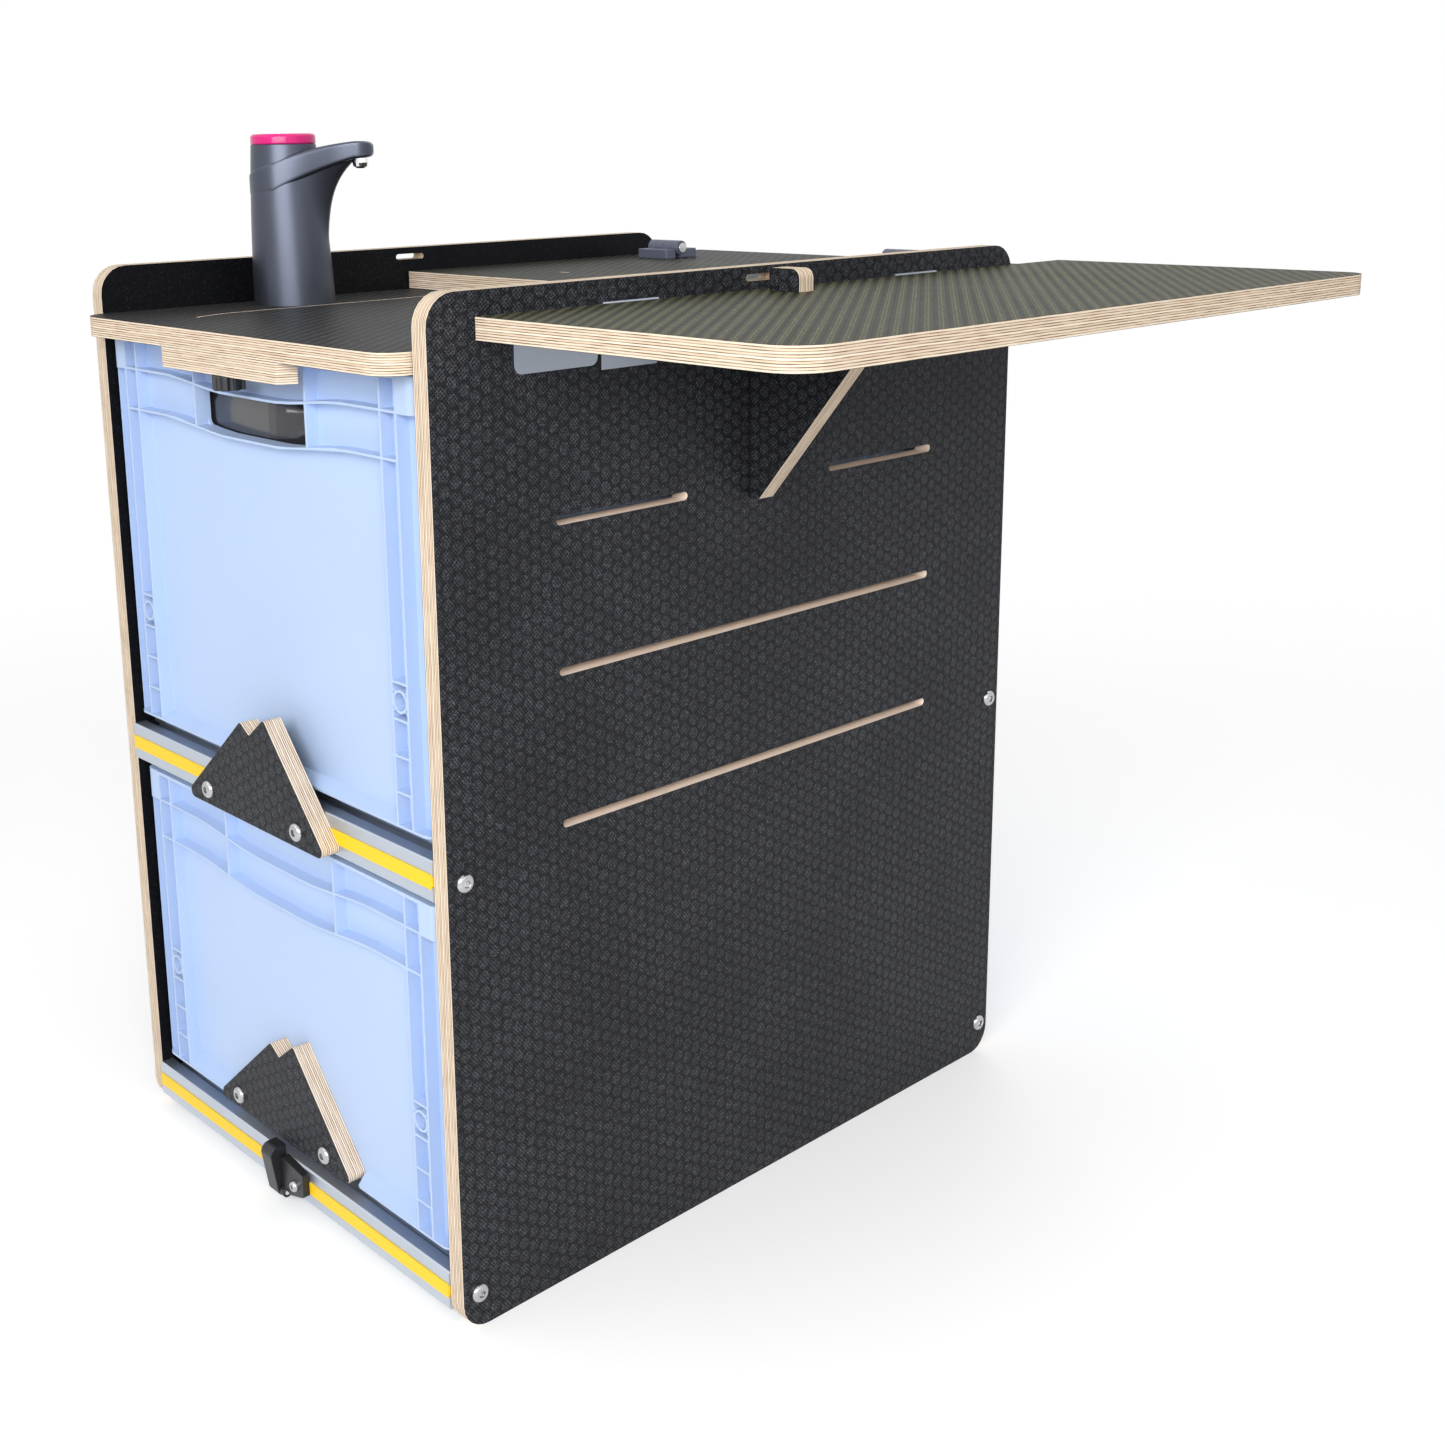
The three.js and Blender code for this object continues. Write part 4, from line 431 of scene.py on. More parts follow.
    def _film(self, graph: Graph, place: Socket, axes: list[Socket], share: Socket) -> tuple[Socket, ...]:
        """Makes the film, whose shine is the net times the imprint, the grain and a slow haze, painted into
        its colour as glints.

        Args:
            graph: the graph.
            place: the Object coordinates.
            axes: the Object coordinates, one by one.
            share: the share across the thickness.

        Returns:
            The colour, the height and the roughness.
        """
        u, v = [part for index, part in enumerate(axes) if index != self.axis.value]
        haze = graph.noise(place, self.haze_rate, 4.0, 0.6)
        cells = graph.node("ShaderNodeTexVoronoi")
        graph.feed(cells.inputs["Vector"], place)
        graph.feed(cells.inputs["Scale"], self.grain_rate)
        random = graph.node("ShaderNodeSeparateColor")
        graph.feed(random.inputs[0], cells.outputs["Color"])
        grain = random.outputs[0]
        wires, height, rise = self._patterns(graph, u, v)
        net = graph.calc("MULTIPLY", graph.calc("MULTIPLY_ADD", wires, 0.7, 0.12),
                         graph.span(grain, 0.1, 0.9, 0.35, 1.0))
        if self.smooth_side:
            printed = graph.calc("LESS_THAN" if self.smooth_side > 0 else "GREATER_THAN", share, 0.5)
            height = graph.calc("MULTIPLY", height, printed)
            net = graph.calc("MULTIPLY", net, printed)
        raised = graph.calc("MULTIPLY_ADD", height, rise, 1.0 - rise)
        # Rare bright grain cells are painted sparkle, and the shine that lifts the film towards its glint
        # colour is a painted glint.
        painted_fleck = graph.calc("MULTIPLY", graph.span(grain, 0.86, 0.99), graph.calc("MULTIPLY", raised, 0.5))
        painted_shine = graph.calc("ADD", graph.calc("MULTIPLY", net, raised), painted_fleck)
        painted_shine = graph.calc("MULTIPLY", painted_shine, graph.span(haze, 0.25, 0.75, 0.65, 1.0), clamp=True)
        relief = graph.calc("MULTIPLY_ADD", graph.calc("MULTIPLY", wires, raised), self.wire_relief, height)
        return (graph.blend(painted_shine, rgba(self.film), rgba(self.painted_glint)), relief,
                graph.calc("MULTIPLY_ADD", haze, *self.film_rough))

    def _patterns(self, graph: Graph, u: Socket, v: Socket) -> tuple[Socket, Socket, float]:
        """Makes the net and the imprint.

        The net is the larger of two sines across each other, cut high. The hexagons are three cosines at
        60 degrees to each other, added and cut, and the ridges are one sine.

        Args:
            graph: the graph.
            u: the first coordinate on the face.
            v: the second coordinate on the face.

        Returns:
            The net's height, and the imprint's height and rise.
        """
        waves = [graph.calc("SINE", graph.slanted(u, v, angle, self.wire))
                 for angle in (self.slant, self.slant + math.pi / 2.0)]
        wires = graph.span(graph.calc("MAXIMUM", *waves), 0.3, 1.0)
        if self.imprint is Imprint.DIAGONAL:
            ridges = graph.calc("SINE", graph.slanted(u, v, self.slant, self.ridge))
            return wires, graph.calc("MULTIPLY_ADD", ridges, 0.5, 0.5), self.rises[1]
        sixth = math.pi / 3.0
        total: object = 0.0
        for turn in range(3):
            along = graph.slanted(u, v, turn * sixth, self.cell * math.sin(sixth))
            total = graph.calc("ADD", graph.calc("COSINE", along), total)
        return wires, graph.span(total, -1.15, -0.3), self.rises[0]


@dataclass(frozen=True)
class MouldedFinish(Finish):
    """Moulded plastic with a faint grain, a slow change of tone and eased edges."""

    colour: Colour
    roughness: float = 0.45
    grain: float = 900.0
    grain_depth: float = 0.00002
    variation: float = 0.12
    rounding: float = 0.0006
    coat: float = 0.0
    coat_rough: float = 0.08
    tone_rate: float = 7.0
    rough_swing: float = 0.07

    def draw(self, graph: Graph) -> None:
        """Adds the tone, the coat and the grain.

        Args:
            graph: the graph.
        """
        place = graph.place()
        slow = graph.noise(place, self.tone_rate, 4.0, 0.6)
        darker, lighter = [shade(self.colour, 1.0 + sign * self.variation) for sign in (-1.0, 1.0)]
        graph.set(base_color=graph.blend(slow, darker, lighter),
                  roughness=graph.swing(slow, self.roughness, self.rough_swing))
        if self.coat > 0.0:
            graph.set(coat_weight=self.coat, coat_roughness=self.coat_rough)
        graph.relief(graph.noise(place, self.grain), self.grain_depth, self.rounding)


@dataclass(frozen=True)
class MetalFinish(Finish):
    """Metal with drawn lines along one axis, a slow change of tone and eased edges."""

    colour: Colour
    roughness: float = 0.3
    along: Axis = Axis.X
    line_rates: Pair = (12.0, 1800.0)
    line_depth: float = 0.00001
    variation: float = 0.08
    rounding: float = 0.0004
    tone_rate: float = 11.0
    rough_swing: float = 0.08

    def draw(self, graph: Graph) -> None:
        """Adds the tone and the drawn lines.

        Args:
            graph: the graph.
        """
        place = graph.place()
        lines = graph.noise(graph.stretched(place, self.line_rates, self.along), 1.0)
        slow = graph.noise(place, self.tone_rate, 3.0)
        darker = shade(self.colour, 1.0 - self.variation)
        graph.set(base_color=graph.blend(slow, rgba(self.colour), darker), metallic=1.0,
                  roughness=graph.swing(lines, self.roughness, self.rough_swing))
        graph.relief(lines, self.line_depth, self.rounding)


@dataclass(frozen=True)
class SatinFinish(Finish):
    """Satin blue-grey lacquer that shines softly, with a fine orange-peel."""

    colour: Colour = (0.085, 0.094, 0.125)
    roughness: float = 0.38
    metal: float = 0.85
    variation: float = 0.1
    tone_rate: float = 30.0
    rough_swing: float = 0.04
    peel_rate: float = 1600.0
    peel_depth: float = 0.000006

    def draw(self, graph: Graph) -> None:
        """Adds the tone and the orange-peel.

        Args:
            graph: the graph.
        """
        place = graph.place()
        slow = graph.noise(place, self.tone_rate, 3.0)
        darker = shade(self.colour, 1.0 - self.variation)
        graph.set(base_color=graph.blend(slow, darker, rgba(self.colour)), metallic=self.metal,
                  roughness=graph.swing(slow, self.roughness, self.rough_swing))
        graph.relief(graph.noise(place, self.peel_rate), self.peel_depth)


@dataclass(frozen=True)
class RingFinish(Finish):
    """Glossy magenta plastic that changes slowly between two tones."""

    colour: Colour = (0.60, 0.003, 0.12)
    glow: Colour = (0.80, 0.015, 0.26)
    tone_rate: float = 60.0
    roughness: float = 0.20
    gloss: float = 0.25
    coat: float = 0.25
    coat_rough: float = 0.08

    def draw(self, graph: Graph) -> None:
        """Adds the tones and the gloss.

        Args:
            graph: the graph.
        """
        slow = graph.noise(graph.place(), self.tone_rate)
        graph.set(base_color=graph.blend(slow, rgba(self.colour), rgba(self.glow)), roughness=self.roughness,
                  specular_ior_level=self.gloss, coat_weight=self.coat, coat_roughness=self.coat_rough)


def mesh_object(name: str, points: np.ndarray, faces: Faces, material: Material,
                smooth: bool = True) -> bpy.types.Object:
    """Makes an object at the origin from points and faces.

    Args:
        name: the piece's name.
        points: places in metres, with x, y and z on the last axis.
        faces: the corners of each face.
        material: its material.
        smooth: whether it is shaded smooth.

    Returns:
        The new object, linked to the scene.
    """
    mesh = bpy.data.meshes.new(name)
    mesh.from_pydata(points.reshape(-1, 3).tolist(), [], faces)
    mesh.update()
    mesh.materials.append(material)
    mesh.polygons.foreach_set("use_smooth", [smooth] * len(mesh.polygons))
    made = bpy.data.objects.new(name, mesh)
    bpy.context.scene.collection.objects.link(made)
    return made


def ring_faces(rings: int, sides: int) -> Faces:
    """Makes quads between neighbouring rings, and a closing face at each end.

    Args:
        rings: the number of rings.
        sides: the number of points in each.

    Returns:
        The corners of each face.
    """
    index = np.arange(rings * sides).reshape(rings, sides)
    following = np.roll(index, -1, axis=1)
    corners = (index[:-1], following[:-1], following[1:], index[1:])
    quads = np.stack([corner.ravel() for corner in corners], axis=1)
    ends = [tuple(reversed(index[0].tolist())), tuple(index[-1].tolist())]
    return [tuple(row) for row in quads.tolist()] + ends


def turned(profile: np.ndarray, sides: int) -> np.ndarray:
    """Makes the rings of a turned piece about +Z.

    A point is (radius * cos(angle), radius * sin(angle), height) for each row of the profile.

    Args:
        profile: rows of radius and height, running upwards on the outside.
        sides: the number of points in each ring.

    Returns:
        The points, by ring and side.
    """
    angle = np.linspace(0.0, 2.0 * math.pi, sides, endpoint=False)
    radius = profile[:, :1]
    x = radius * np.cos(angle)
    y = radius * np.sin(angle)
    return np.stack([x, y, np.broadcast_to(profile[:, 1:], x.shape)], axis=2)


def bezier(*rows: Pair, steps: int = 60) -> np.ndarray:
    """Makes points of a cubic Bezier curve.

    A point is start * (1-t)^3 + first * 3t(1-t)^2 + second * 3t^2(1-t) + end * t^3.

    Args:
        rows: the start, the two handles and the end.
        steps: the number of points.

    Returns:
        One row for each point.
    """
    t = np.linspace(0.0, 1.0, steps)[:, None]
    start, first, second, end = [np.array(row) for row in rows]
    return (start * (1 - t) ** 3 + first * 3 * t * (1 - t) ** 2
            + second * 3 * t ** 2 * (1 - t) + end * t ** 3)


def arc(radius: float, off: np.ndarray) -> np.ndarray:
    """Returns a circle's half width off its centre: sqrt(radius ** 2 - off ** 2), or almost 0 outside it."""
    return np.sqrt(np.clip(radius ** 2 - off ** 2, 1e-10, None))


def placed(points: np.ndarray, direction: Point, origin: Point) -> np.ndarray:
    """Returns points turned from +Z to a direction and moved to an origin."""
    turn = np.array(Vector(UP).rotation_difference(Vector(direction)).to_matrix())
    return points @ turn.T + np.array(origin)


@dataclass(frozen=True)
class FinePiece:
    """A fine surface that takes a CAD node's place, with edges sharp above an angle in degrees."""

    node: str
    body: str
    slot: str
    material: Material
    split: float

    def add(self, name: str, points: np.ndarray) -> None:
        """Makes a piece.

        Args:
            name: the piece's name.
            points: its places in metres, by ring and side.
        """
        piece = mesh_object(name, points, ring_faces(*points.shape[:2]), self.material)
        edges = piece.modifiers.new("edges", "EDGE_SPLIT")
        edges.split_angle = math.radians(self.split)
        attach(piece, self.body)
        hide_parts(self.node)
        LOG.info("made %s", piece.name)


def measure(node: str) -> tuple[np.ndarray, float, float]:
    """Returns the foot, the radius and the height of a turned CAD node."""
    low, high = [np.array(corner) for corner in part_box(node)]
    return np.array([*(low + high)[:2] / 2.0, low[2]]), (high[0] - low[0]) / 2.0, high[2] - low[2]


def dress(material: Material, *names: str) -> None:
    """Gives CAD nodes a material.

    Args:
        material: the material.
        names: the nodes' names.
    """
    for name in names:
        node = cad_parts[name]
        if node.material_slots:
            for item in node.material_slots:
                item.material = material
        else:
            node.data.materials.append(material)
        LOG.info("dressed %s with %s", name, material.name)


class Boards:
    """The plywood boards: each has its film on the faces across its own thickness."""

    upright = {"left_panel": 1, "right_panel": -1}
    # Glint colours of the flat boards' film: painted glints, stronger and more olive on the side table.
    painted_flat_glints = {"side_table": (0.27, 0.275, 0.15), "lid_board": (0.14, 0.145, 0.115)}
    painted_plain_glint = (0.14, 0.14, 0.15)
    flat_film = (0.010, 0.010, 0.008)
    flat_gloss = 0.04
    flat = ("worktop", "lid_board", "rear_board", "side_table")
    facing = ("table_block", "table_bracket", "top_stop_plate", "crate_front_plate")

    def build(self) -> None:
        """Dresses every board and the bare block under the worktop."""
        for name, smooth_side in self.upright.items():
            self._finish(name, Axis.X, Imprint.HEXAGON, smooth_side)
        for name in self.flat:
            self._finish(name, Axis.Z, Imprint.DIAGONAL)
        for name in self.facing:
            self._finish(name, Axis.Y, Imprint.HEXAGON)
        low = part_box("front_stop_block")[0]
        block = BoardFinish(Axis.Z, low[2], Imprint.DIAGONAL, bare=True)
        dress(block.material("front_stop_block_wood"), "front_stop_block")

    def _finish(self, name: str, axis: Axis, imprint: Imprint, smooth_side: int = 0) -> None:
        """Dresses one board.

        Args:
            name: the board's node.
            axis: the direction of its thickness.
            imprint: its film's pattern.
            smooth_side: the side without print, as in the finish.
        """
        low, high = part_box(name)
        finish = BoardFinish(axis, high[axis.value] - PLY_THICKNESS, imprint, smooth_side=smooth_side)
        # All but the facing boards get paler, painted-light wood in their slots and grooves.
        if name not in self.facing:
            finish = replace(finish, low=tuple(low), high=tuple(high))
        # Flat boards get their own dark film colour and a lighter colour of painted glints.
        if imprint is Imprint.DIAGONAL:
            painted_glint = self.painted_flat_glints.get(name, self.painted_plain_glint)
            finish = replace(finish, film=self.flat_film, painted_glint=painted_glint, gloss=self.flat_gloss)
        dress(finish.material(f"{name}_film"), name)


class Metalwork:
    """Rails, cover strips, hinge plates and pins."""

    rails = ("front_low_rail", "front_mid_rail", "rear_low_rail", "rear_mid_rail")
    strips = ("mid_strip_left", "mid_strip_right", "low_strip_left", "low_strip_right")
    plates = ("table_hinge_front_panel_leaf", "table_hinge_front_table_leaf",
              "table_hinge_rear_panel_leaf", "table_hinge_rear_table_leaf",
              "bracket_hinge_panel_leaf", "bracket_hinge_bracket_leaf", "catch_plate")
    pins = ("table_hinge_front_pin", "table_hinge_rear_pin", "bracket_hinge_pin",
            "lid_hinge_left_pin", "lid_hinge_right_pin", "latch_pin")

    def build(self) -> None:
        """Dresses the metal and the strips."""
        dress(MetalFinish((0.55, 0.60, 0.67), 0.42).material("satin_aluminium"), *self.rails)
        dress(MouldedFinish((0.98, 0.60, 0.002), 0.45, variation=0.04).material("yellow_strip"), *self.strips)
        dress(MetalFinish((0.34, 0.37, 0.43), 0.36, Axis.Y).material("hinge_steel"), *self.plates)
        dress(MetalFinish((0.78, 0.78, 0.79), 0.22, Axis.Y).material("pin_steel"), *self.pins)


@dataclass
class Bolts:
    """Bright button-head bolts with a hexagon socket, one fine piece for each CAD bolt.

    Shares and factors multiply the radius or the height that they shape.
    """

    head_radius: float = 0.007
    head_height: float = 0.004
    screw_radius: float = 0.0046
    rim_share: float = 0.2
    crown_share: float = 0.5
    shank_share: float = 0.47
    tip_share: float = 0.6
    socket_share: float = 0.42
    socket_depth: float = 0.0024
    socket_lip: Pair = (1.04, 0.0001)
    socket_point: Pair = (0.3, 1.2)
    split: float = 38.0
    dome_steps: int = 8
    sides: int = 48

    def build(self) -> None:
        """Makes the bolts of the rails, the plates and the latch."""
        steel = MetalFinish((0.50, 0.50, 0.51), 0.24, Axis.Z).material("bolt_steel")
        for rail in Metalwork.rails:
            for side, sign in (("left", -1.0), ("right", 1.0)):
                self._bolt(f"{rail}_bolt_{side}", "carcass", Axis.X, sign, self.head_radius, steel)
        for side in ("left", "right"):
            self._bolt(f"top_plate_bolt_{side}", "carcass", Axis.Y, -1.0, self.head_radius, steel)
            self._bolt(f"crate_plate_bolt_{side}", "crate_drawer", Axis.Y, -1.0, self.head_radius, steel)
        self._bolt("latch_screw", "carcass", Axis.Y, -1.0, self.screw_radius, steel)

    def _bolt(self, node: str, body: str, axis: Axis, sign: float, radius: float,
              material: Material) -> None:
        """Makes one bolt where its CAD node is.

        Args:
            node: the bolt's node.
            body: the body that it rides.
            axis: the axis that it lies along.
            sign: 1 where its head faces the axis's high end, else -1.
            radius: its head's radius.
            material: its material.
        """
        low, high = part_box(node)
        seat = [(a + b) / 2.0 for a, b in zip(low, high)]
        outer = high[axis.value] if sign > 0.0 else low[axis.value]
        seat[axis.value] = outer - sign * self.head_height
        length = high[axis.value] - low[axis.value] - self.head_height
        points = np.concatenate([turned(self._outside(radius, length), self.sides), self._socket(radius)])
        direction = [0.0, 0.0, 0.0]
        direction[axis.value] = sign
        piece = FinePiece(node, body, "bolt_steel", material, self.split)
        piece.add(f"{node}_fine", placed(points, tuple(direction), tuple(seat)))

    def _outside(self, radius: float, length: float) -> np.ndarray:
        """Makes the profile of shank and head, whose dome is a quarter of an ellipse.

        Args:
            radius: the head's radius.
            length: the shank's length.

        Returns:
            Rows of radius and height above the head's seat.
        """
        turn = np.linspace(0.0, math.pi / 2.0, self.dome_steps)
        crown = radius * self.crown_share
        rim = self.head_height * self.rim_share
        dome = np.stack([crown + (radius - crown) * np.cos(turn),
                         rim + (self.head_height - rim) * np.sin(turn)], axis=1)
        shank = radius * self.shank_share
        bevel = shank * (1.0 - self.tip_share)
        below = [(shank * self.tip_share, -length), (shank, -length + bevel), (shank, 0.0), (radius, 0.0)]
        return np.concatenate([np.array(below), dome])

    def _socket(self, radius: float) -> np.ndarray:
        """Makes the socket, a hexagon: radius = distance of the flat / cos(angle from its middle).

        Args:
            radius: the head's radius.

        Returns:
            The points, by ring and side.
        """
        angle = np.linspace(0.0, 2.0 * math.pi, self.sides, endpoint=False)
        half_side = math.pi / 6.0
        from_flat = np.mod(angle + half_side, 2.0 * half_side) - half_side
        wall = radius * self.socket_share * math.cos(half_side) / np.cos(from_flat)
        lip_width, lip_depth = self.socket_lip
        point_width, point_depth = self.socket_point
        width = np.array([[lip_width], [1.0], [1.0], [point_width]])
        depth = np.array([[0.0], [lip_depth], [self.socket_depth], [self.socket_depth * point_depth]])
        x = wall * width * np.cos(angle)
        y = wall * width * np.sin(angle)
        return np.stack([x, y, np.broadcast_to(self.head_height - depth, x.shape)], axis=2)


class Mouldings:
    """Crates, canister, latch, knob and lid hinges, which keep their CAD shapes."""

    lid_leaves = ("lid_hinge_left_front_leaf", "lid_hinge_left_rear_leaf",
                  "lid_hinge_right_front_leaf", "lid_hinge_right_rear_leaf")

    def build(self) -> None:
        """Dresses the mouldings."""
        crate = MouldedFinish((0.46, 0.585, 0.82), 0.45, variation=0.05, rounding=0.0008)
        dress(crate.material("crate_plastic"), "low_crate", "top_crate")
        canister = MouldedFinish((0.02, 0.02, 0.024), 0.20, grain=120.0, rounding=0.003, coat=0.8)
        dress(canister.material("canister_plastic"), "water_canister")
        black = MouldedFinish((0.014, 0.014, 0.017), 0.38, rounding=0.0012)
        dress(black.material("black_plastic"), "latch_base", "latch_lever", "clamp_knob")
        dress(MouldedFinish((0.09, 0.10, 0.14), 0.42, rounding=0.0015).material("hinge_plastic"),
              *self.lid_leaves)


@dataclass
class Pump:
    """The water pump: its body, chrome nozzle, clear ring and push plate."""

    base_radius: float = 0.033
    top_radius: float = 0.026
    height: float = 0.127
    lean: float = 0.003
    spigot_radius: float = 0.020
    spigot_depth: float = 0.015
    keel_foot: float = 0.046
    keel_top: float = 0.1148
    keel_reach: float = 0.056
    keel_widths: Pair = (0.014, 0.008)
    keel_bends: Pair = (0.6, 0.8)
    keel_step: float = 0.0005
    column_bevel: float = 0.0006
    column_blend: float = 0.0006
    column_levels: int = 64
    sash_radius: float = 0.0284
    sash_top: float = 0.1283
    top_drops: Point = (0.026, 0.0156, 0.0026)
    under_drops: Point = (0.027, 0.018, 0.0054)
    sash_sections: int = 120
    sash_gap: float = 0.004
    heel_along: Pair = (-0.011, -0.006)
    heel_levels: Pair = (0.087, 0.096)
    tip_radius: float = 0.013
    reach: float = 0.070
    spout_turn: float = math.radians(45.0)
    edge_power: float = 9.0
    proud: float = 0.0004
    body_split: float = 35.0
    ring_width: float = 0.005
    ring_round: float = 0.003
    ring_well: float = 0.0064
    ring_foot: Pair = (0.0006, 0.0007)
    ring_lip: Pair = (0.0005, 0.0006)
    hub_radius: float = 0.001
    plate_dish: float = 0.0008
    plate_span: Pair = (0.96, 0.02)
    plate_foot: Pair = (0.9, 0.0004)
    plate_bevel: float = 0.0005
    turned_split: float = 40.0
    sides: int = 128

    def build(self) -> None:
        """Makes the column, the sash, the ring and the push plate, and dresses the nozzle."""
        body = FinePiece("pump_body", "pump", "pump_plastic", SatinFinish().material("pump_satin"),
                         self.body_split)
        body.add("pump_column", self._set_up(self._column()))
        body.add("pump_sash", self._set_up(self._sash()))
        dress(MetalFinish((0.86, 0.86, 0.87), 0.10, Axis.Z).material("nozzle_chrome"), "pump_nozzle")
        self._turned("pump_ring", "pump", "ring_plastic", self._ring(), RingFinish().material("clear_ring"))
        grey = MouldedFinish((0.30, 0.31, 0.34), 0.35, rounding=0.0).material("push_plate")
        self._turned("pump_button", "button", "pump_plastic", self._plate(), grey)

    def _set_up(self, points: np.ndarray) -> np.ndarray:
        """Turns points from the spout's own frame, with its foot at the origin, and stands them up.

        Args:
            points: places in the spout's frame.

        Returns:
            The same places in the part's frame.
        """
        cos, sin = math.cos(self.spout_turn), math.sin(self.spout_turn)
        foot = measure("pump_ring")[0] + np.array([self.lean * cos, self.lean * sin, -self.height])
        return points @ np.array([[cos, sin, 0.0], [-sin, cos, 0.0], [0.0, 0.0, 1.0]]) + foot

    def _radius(self, share: np.ndarray) -> np.ndarray:
        """Returns the barrel's radius at shares of its height: base - taper * share * (2 + 3 share) / 5."""
        return self.base_radius - (self.base_radius - self.top_radius) * share * (2.0 + 3.0 * share) / 5.0

    def _drawn(self, value: np.ndarray) -> np.ndarray:
        """Returns sign(value) * |value| ** (2 / edge_power), which makes an oblong of an ellipse."""
        return np.sign(value) * np.abs(value) ** (2.0 / self.edge_power)

    def _column(self) -> np.ndarray:
        """Makes the column, which flows out into the spout.

        At each height the section is what a band takes round two circles: the leaning barrel's, and a
        smaller one that moves out along the keel's curve. A point with its outward angle on the smaller
        circle counts by 1 / (1 + exp(-reach gained / blend)), and else on the barrel's.

        Returns:
            Its points in the spout's frame, by ring and side.
        """
        rise = self.keel_top - self.keel_foot
        right = self.base_radius - self.lean
        first, second = [self.keel_foot + rise * bend for bend in self.keel_bends]
        curve = bezier((right, self.keel_foot), (right + self.lean / 2.0, first),
                       (self.keel_reach - 2.0 * self.keel_widths[1], second),
                       (self.keel_reach, self.keel_top))
        above = np.linspace(0.0, self.keel_top, self.column_levels)
        top = [self.keel_top + self.keel_step, self.height - self.column_bevel, self.height]
        level = np.concatenate([above, top])
        share = level / self.height
        radius = self._radius(share)
        radius[-1] -= self.column_bevel
        centre = -self.lean * share
        edge = np.maximum(np.interp(level, curve[:, 1], curve[:, 0]), centre + radius)
        edge = np.where((level < self.keel_foot) | (level > self.keel_top), centre + radius, edge)
        small = np.interp(level, (self.keel_foot, self.keel_top), self.keel_widths)
        angle = np.linspace(0.0, 2.0 * math.pi, self.sides, endpoint=False)
        cos, sin = np.cos(angle), np.sin(angle)
        far = (edge - small)[:, None]
        near, wide, slim = centre[:, None], radius[:, None], small[:, None]
        gained = (far - near) * cos + slim - wide
        steepest = 40.0
        blend = 1.0 / (1.0 + np.exp(-np.clip(gained / self.column_blend, -steepest, steepest)))
        x = (near + wide * cos) * (1.0 - blend) + (far + slim * cos) * blend
        y = wide * sin * (1.0 - blend) + slim * sin * blend
        body = np.stack([x, y, np.broadcast_to(level[:, None], x.shape)], axis=2)
        spigot = np.array([[self.spigot_radius, -self.spigot_depth], [self.spigot_radius, 0.0]])
        return np.concatenate([turned(spigot, self.sides), body])

    def _sash(self) -> np.ndarray:
        """Makes the sash that wraps the barrel and sweeps up into the spout.

        At each place along the spout the section is a rounded oblong: half width * cos(angle) and half
        height * sin(angle), each drawn to the power 2 / edge_power. The half width follows a circle round
        the barrel, then a Bezier curve, then a circle round the tip, and two Bezier curves give the top
        and the underside. Past the tip's centre the height falls as (1 - share ** 3) ** (1 / 3), and
        round the barrel the width follows the barrel's own radius, a little proud of it but at the heel's
        foot, where it sinks in.

        Returns:
            Its points in the spout's frame, by ring and side.
        """
        heel = -self.sash_radius - self.lean
        tip = self.reach - self.tip_radius
        side = bezier((-self.lean, self.sash_radius), (self.reach / 4.0, self.sash_radius),
                      (self.reach / 2.0, self.tip_radius), (tip, self.tip_radius))
        first, second, third = [self.sash_top - drop for drop in self.top_drops]
        upper = bezier((heel, first), (heel * 2.0 / 3.0, second), (self.reach / 3.0, third),
                       (tip, self.sash_top))
        first, second, third = [self.keel_top - drop for drop in self.under_drops]
        under = bezier((heel / 4.0, first), (self.reach / 7.0, second), (self.reach / 2.0, third),
                       (tip, self.keel_top))
        turn = np.linspace(self.sash_gap, math.pi - self.sash_gap, self.sash_sections)
        along = (heel + self.reach) / 2.0 - (self.reach - heel) / 2.0 * np.cos(turn)
        half = np.interp(along, side[:, 0], side[:, 1])
        half = np.where(along > tip, arc(self.tip_radius, along - tip), half)
        half = np.where(along < -self.lean, arc(self.sash_radius, along + self.lean), half)
        high = np.interp(along, upper[:, 0], upper[:, 1])
        floor = np.interp(along, under[:, 0], under[:, 1])
        angle = np.linspace(0.0, 2.0 * math.pi, self.sides, endpoint=False)
        rounded = np.cbrt(1.0 - np.clip((along - tip) / self.tip_radius, 0.0, 0.9999) ** 3)
        tall = ((high - floor) / 2.0 * rounded)[:, None]
        z = ((high + floor) / 2.0)[:, None] + tall * self._drawn(np.sin(angle))
        follow = np.interp(along, (0.0, self.reach / 2.0), (1.0, 0.0))[:, None]
        shown = np.interp(along, self.heel_along, (0.0, 1.0))[:, None]
        shown = shown + (1.0 - shown) * np.interp(z, self.heel_levels, (-1.0, 1.0))
        wider = (self._radius(z / self.height) + self.proud * shown) / self.sash_radius
        y = half[:, None] * self._drawn(np.cos(angle)) * (1.0 + (wider - 1.0) * follow)
        return np.stack([np.broadcast_to(along[:, None], y.shape), y, z], axis=2)

    def _turned(self, node: str, body: str, slot: str, profile: Rows, material: Material) -> None:
        """Makes a turned piece in a node's place from rows of radius and height above its foot."""
        piece = FinePiece(node, body, slot, material, self.turned_split)
        piece.add(f"{node}_fine", turned(np.array(profile), self.sides) + measure(node)[0])

    def _ring(self) -> Rows:
        """Makes the ring's profile: a well in its top, and a rim that rounds over by a quarter turn.

        Returns:
            Rows of radius and height.
        """
        _, radius, height = measure("pump_ring")
        inner = radius - self.ring_width
        floor = height - self.ring_well
        turn = np.linspace(0.0, math.pi / 2.0, 8)
        over = [(radius - self.ring_round * (1.0 - math.cos(angle)),
                 height - self.ring_round * (1.0 - math.sin(angle))) for angle in turn.tolist()]
        return [(radius - self.ring_foot[0], 0.0), (radius, self.ring_foot[1]), *over,
                (inner + self.ring_lip[0], height), (inner, height - self.ring_lip[1]), (inner, floor),
                (self.hub_radius, floor)]

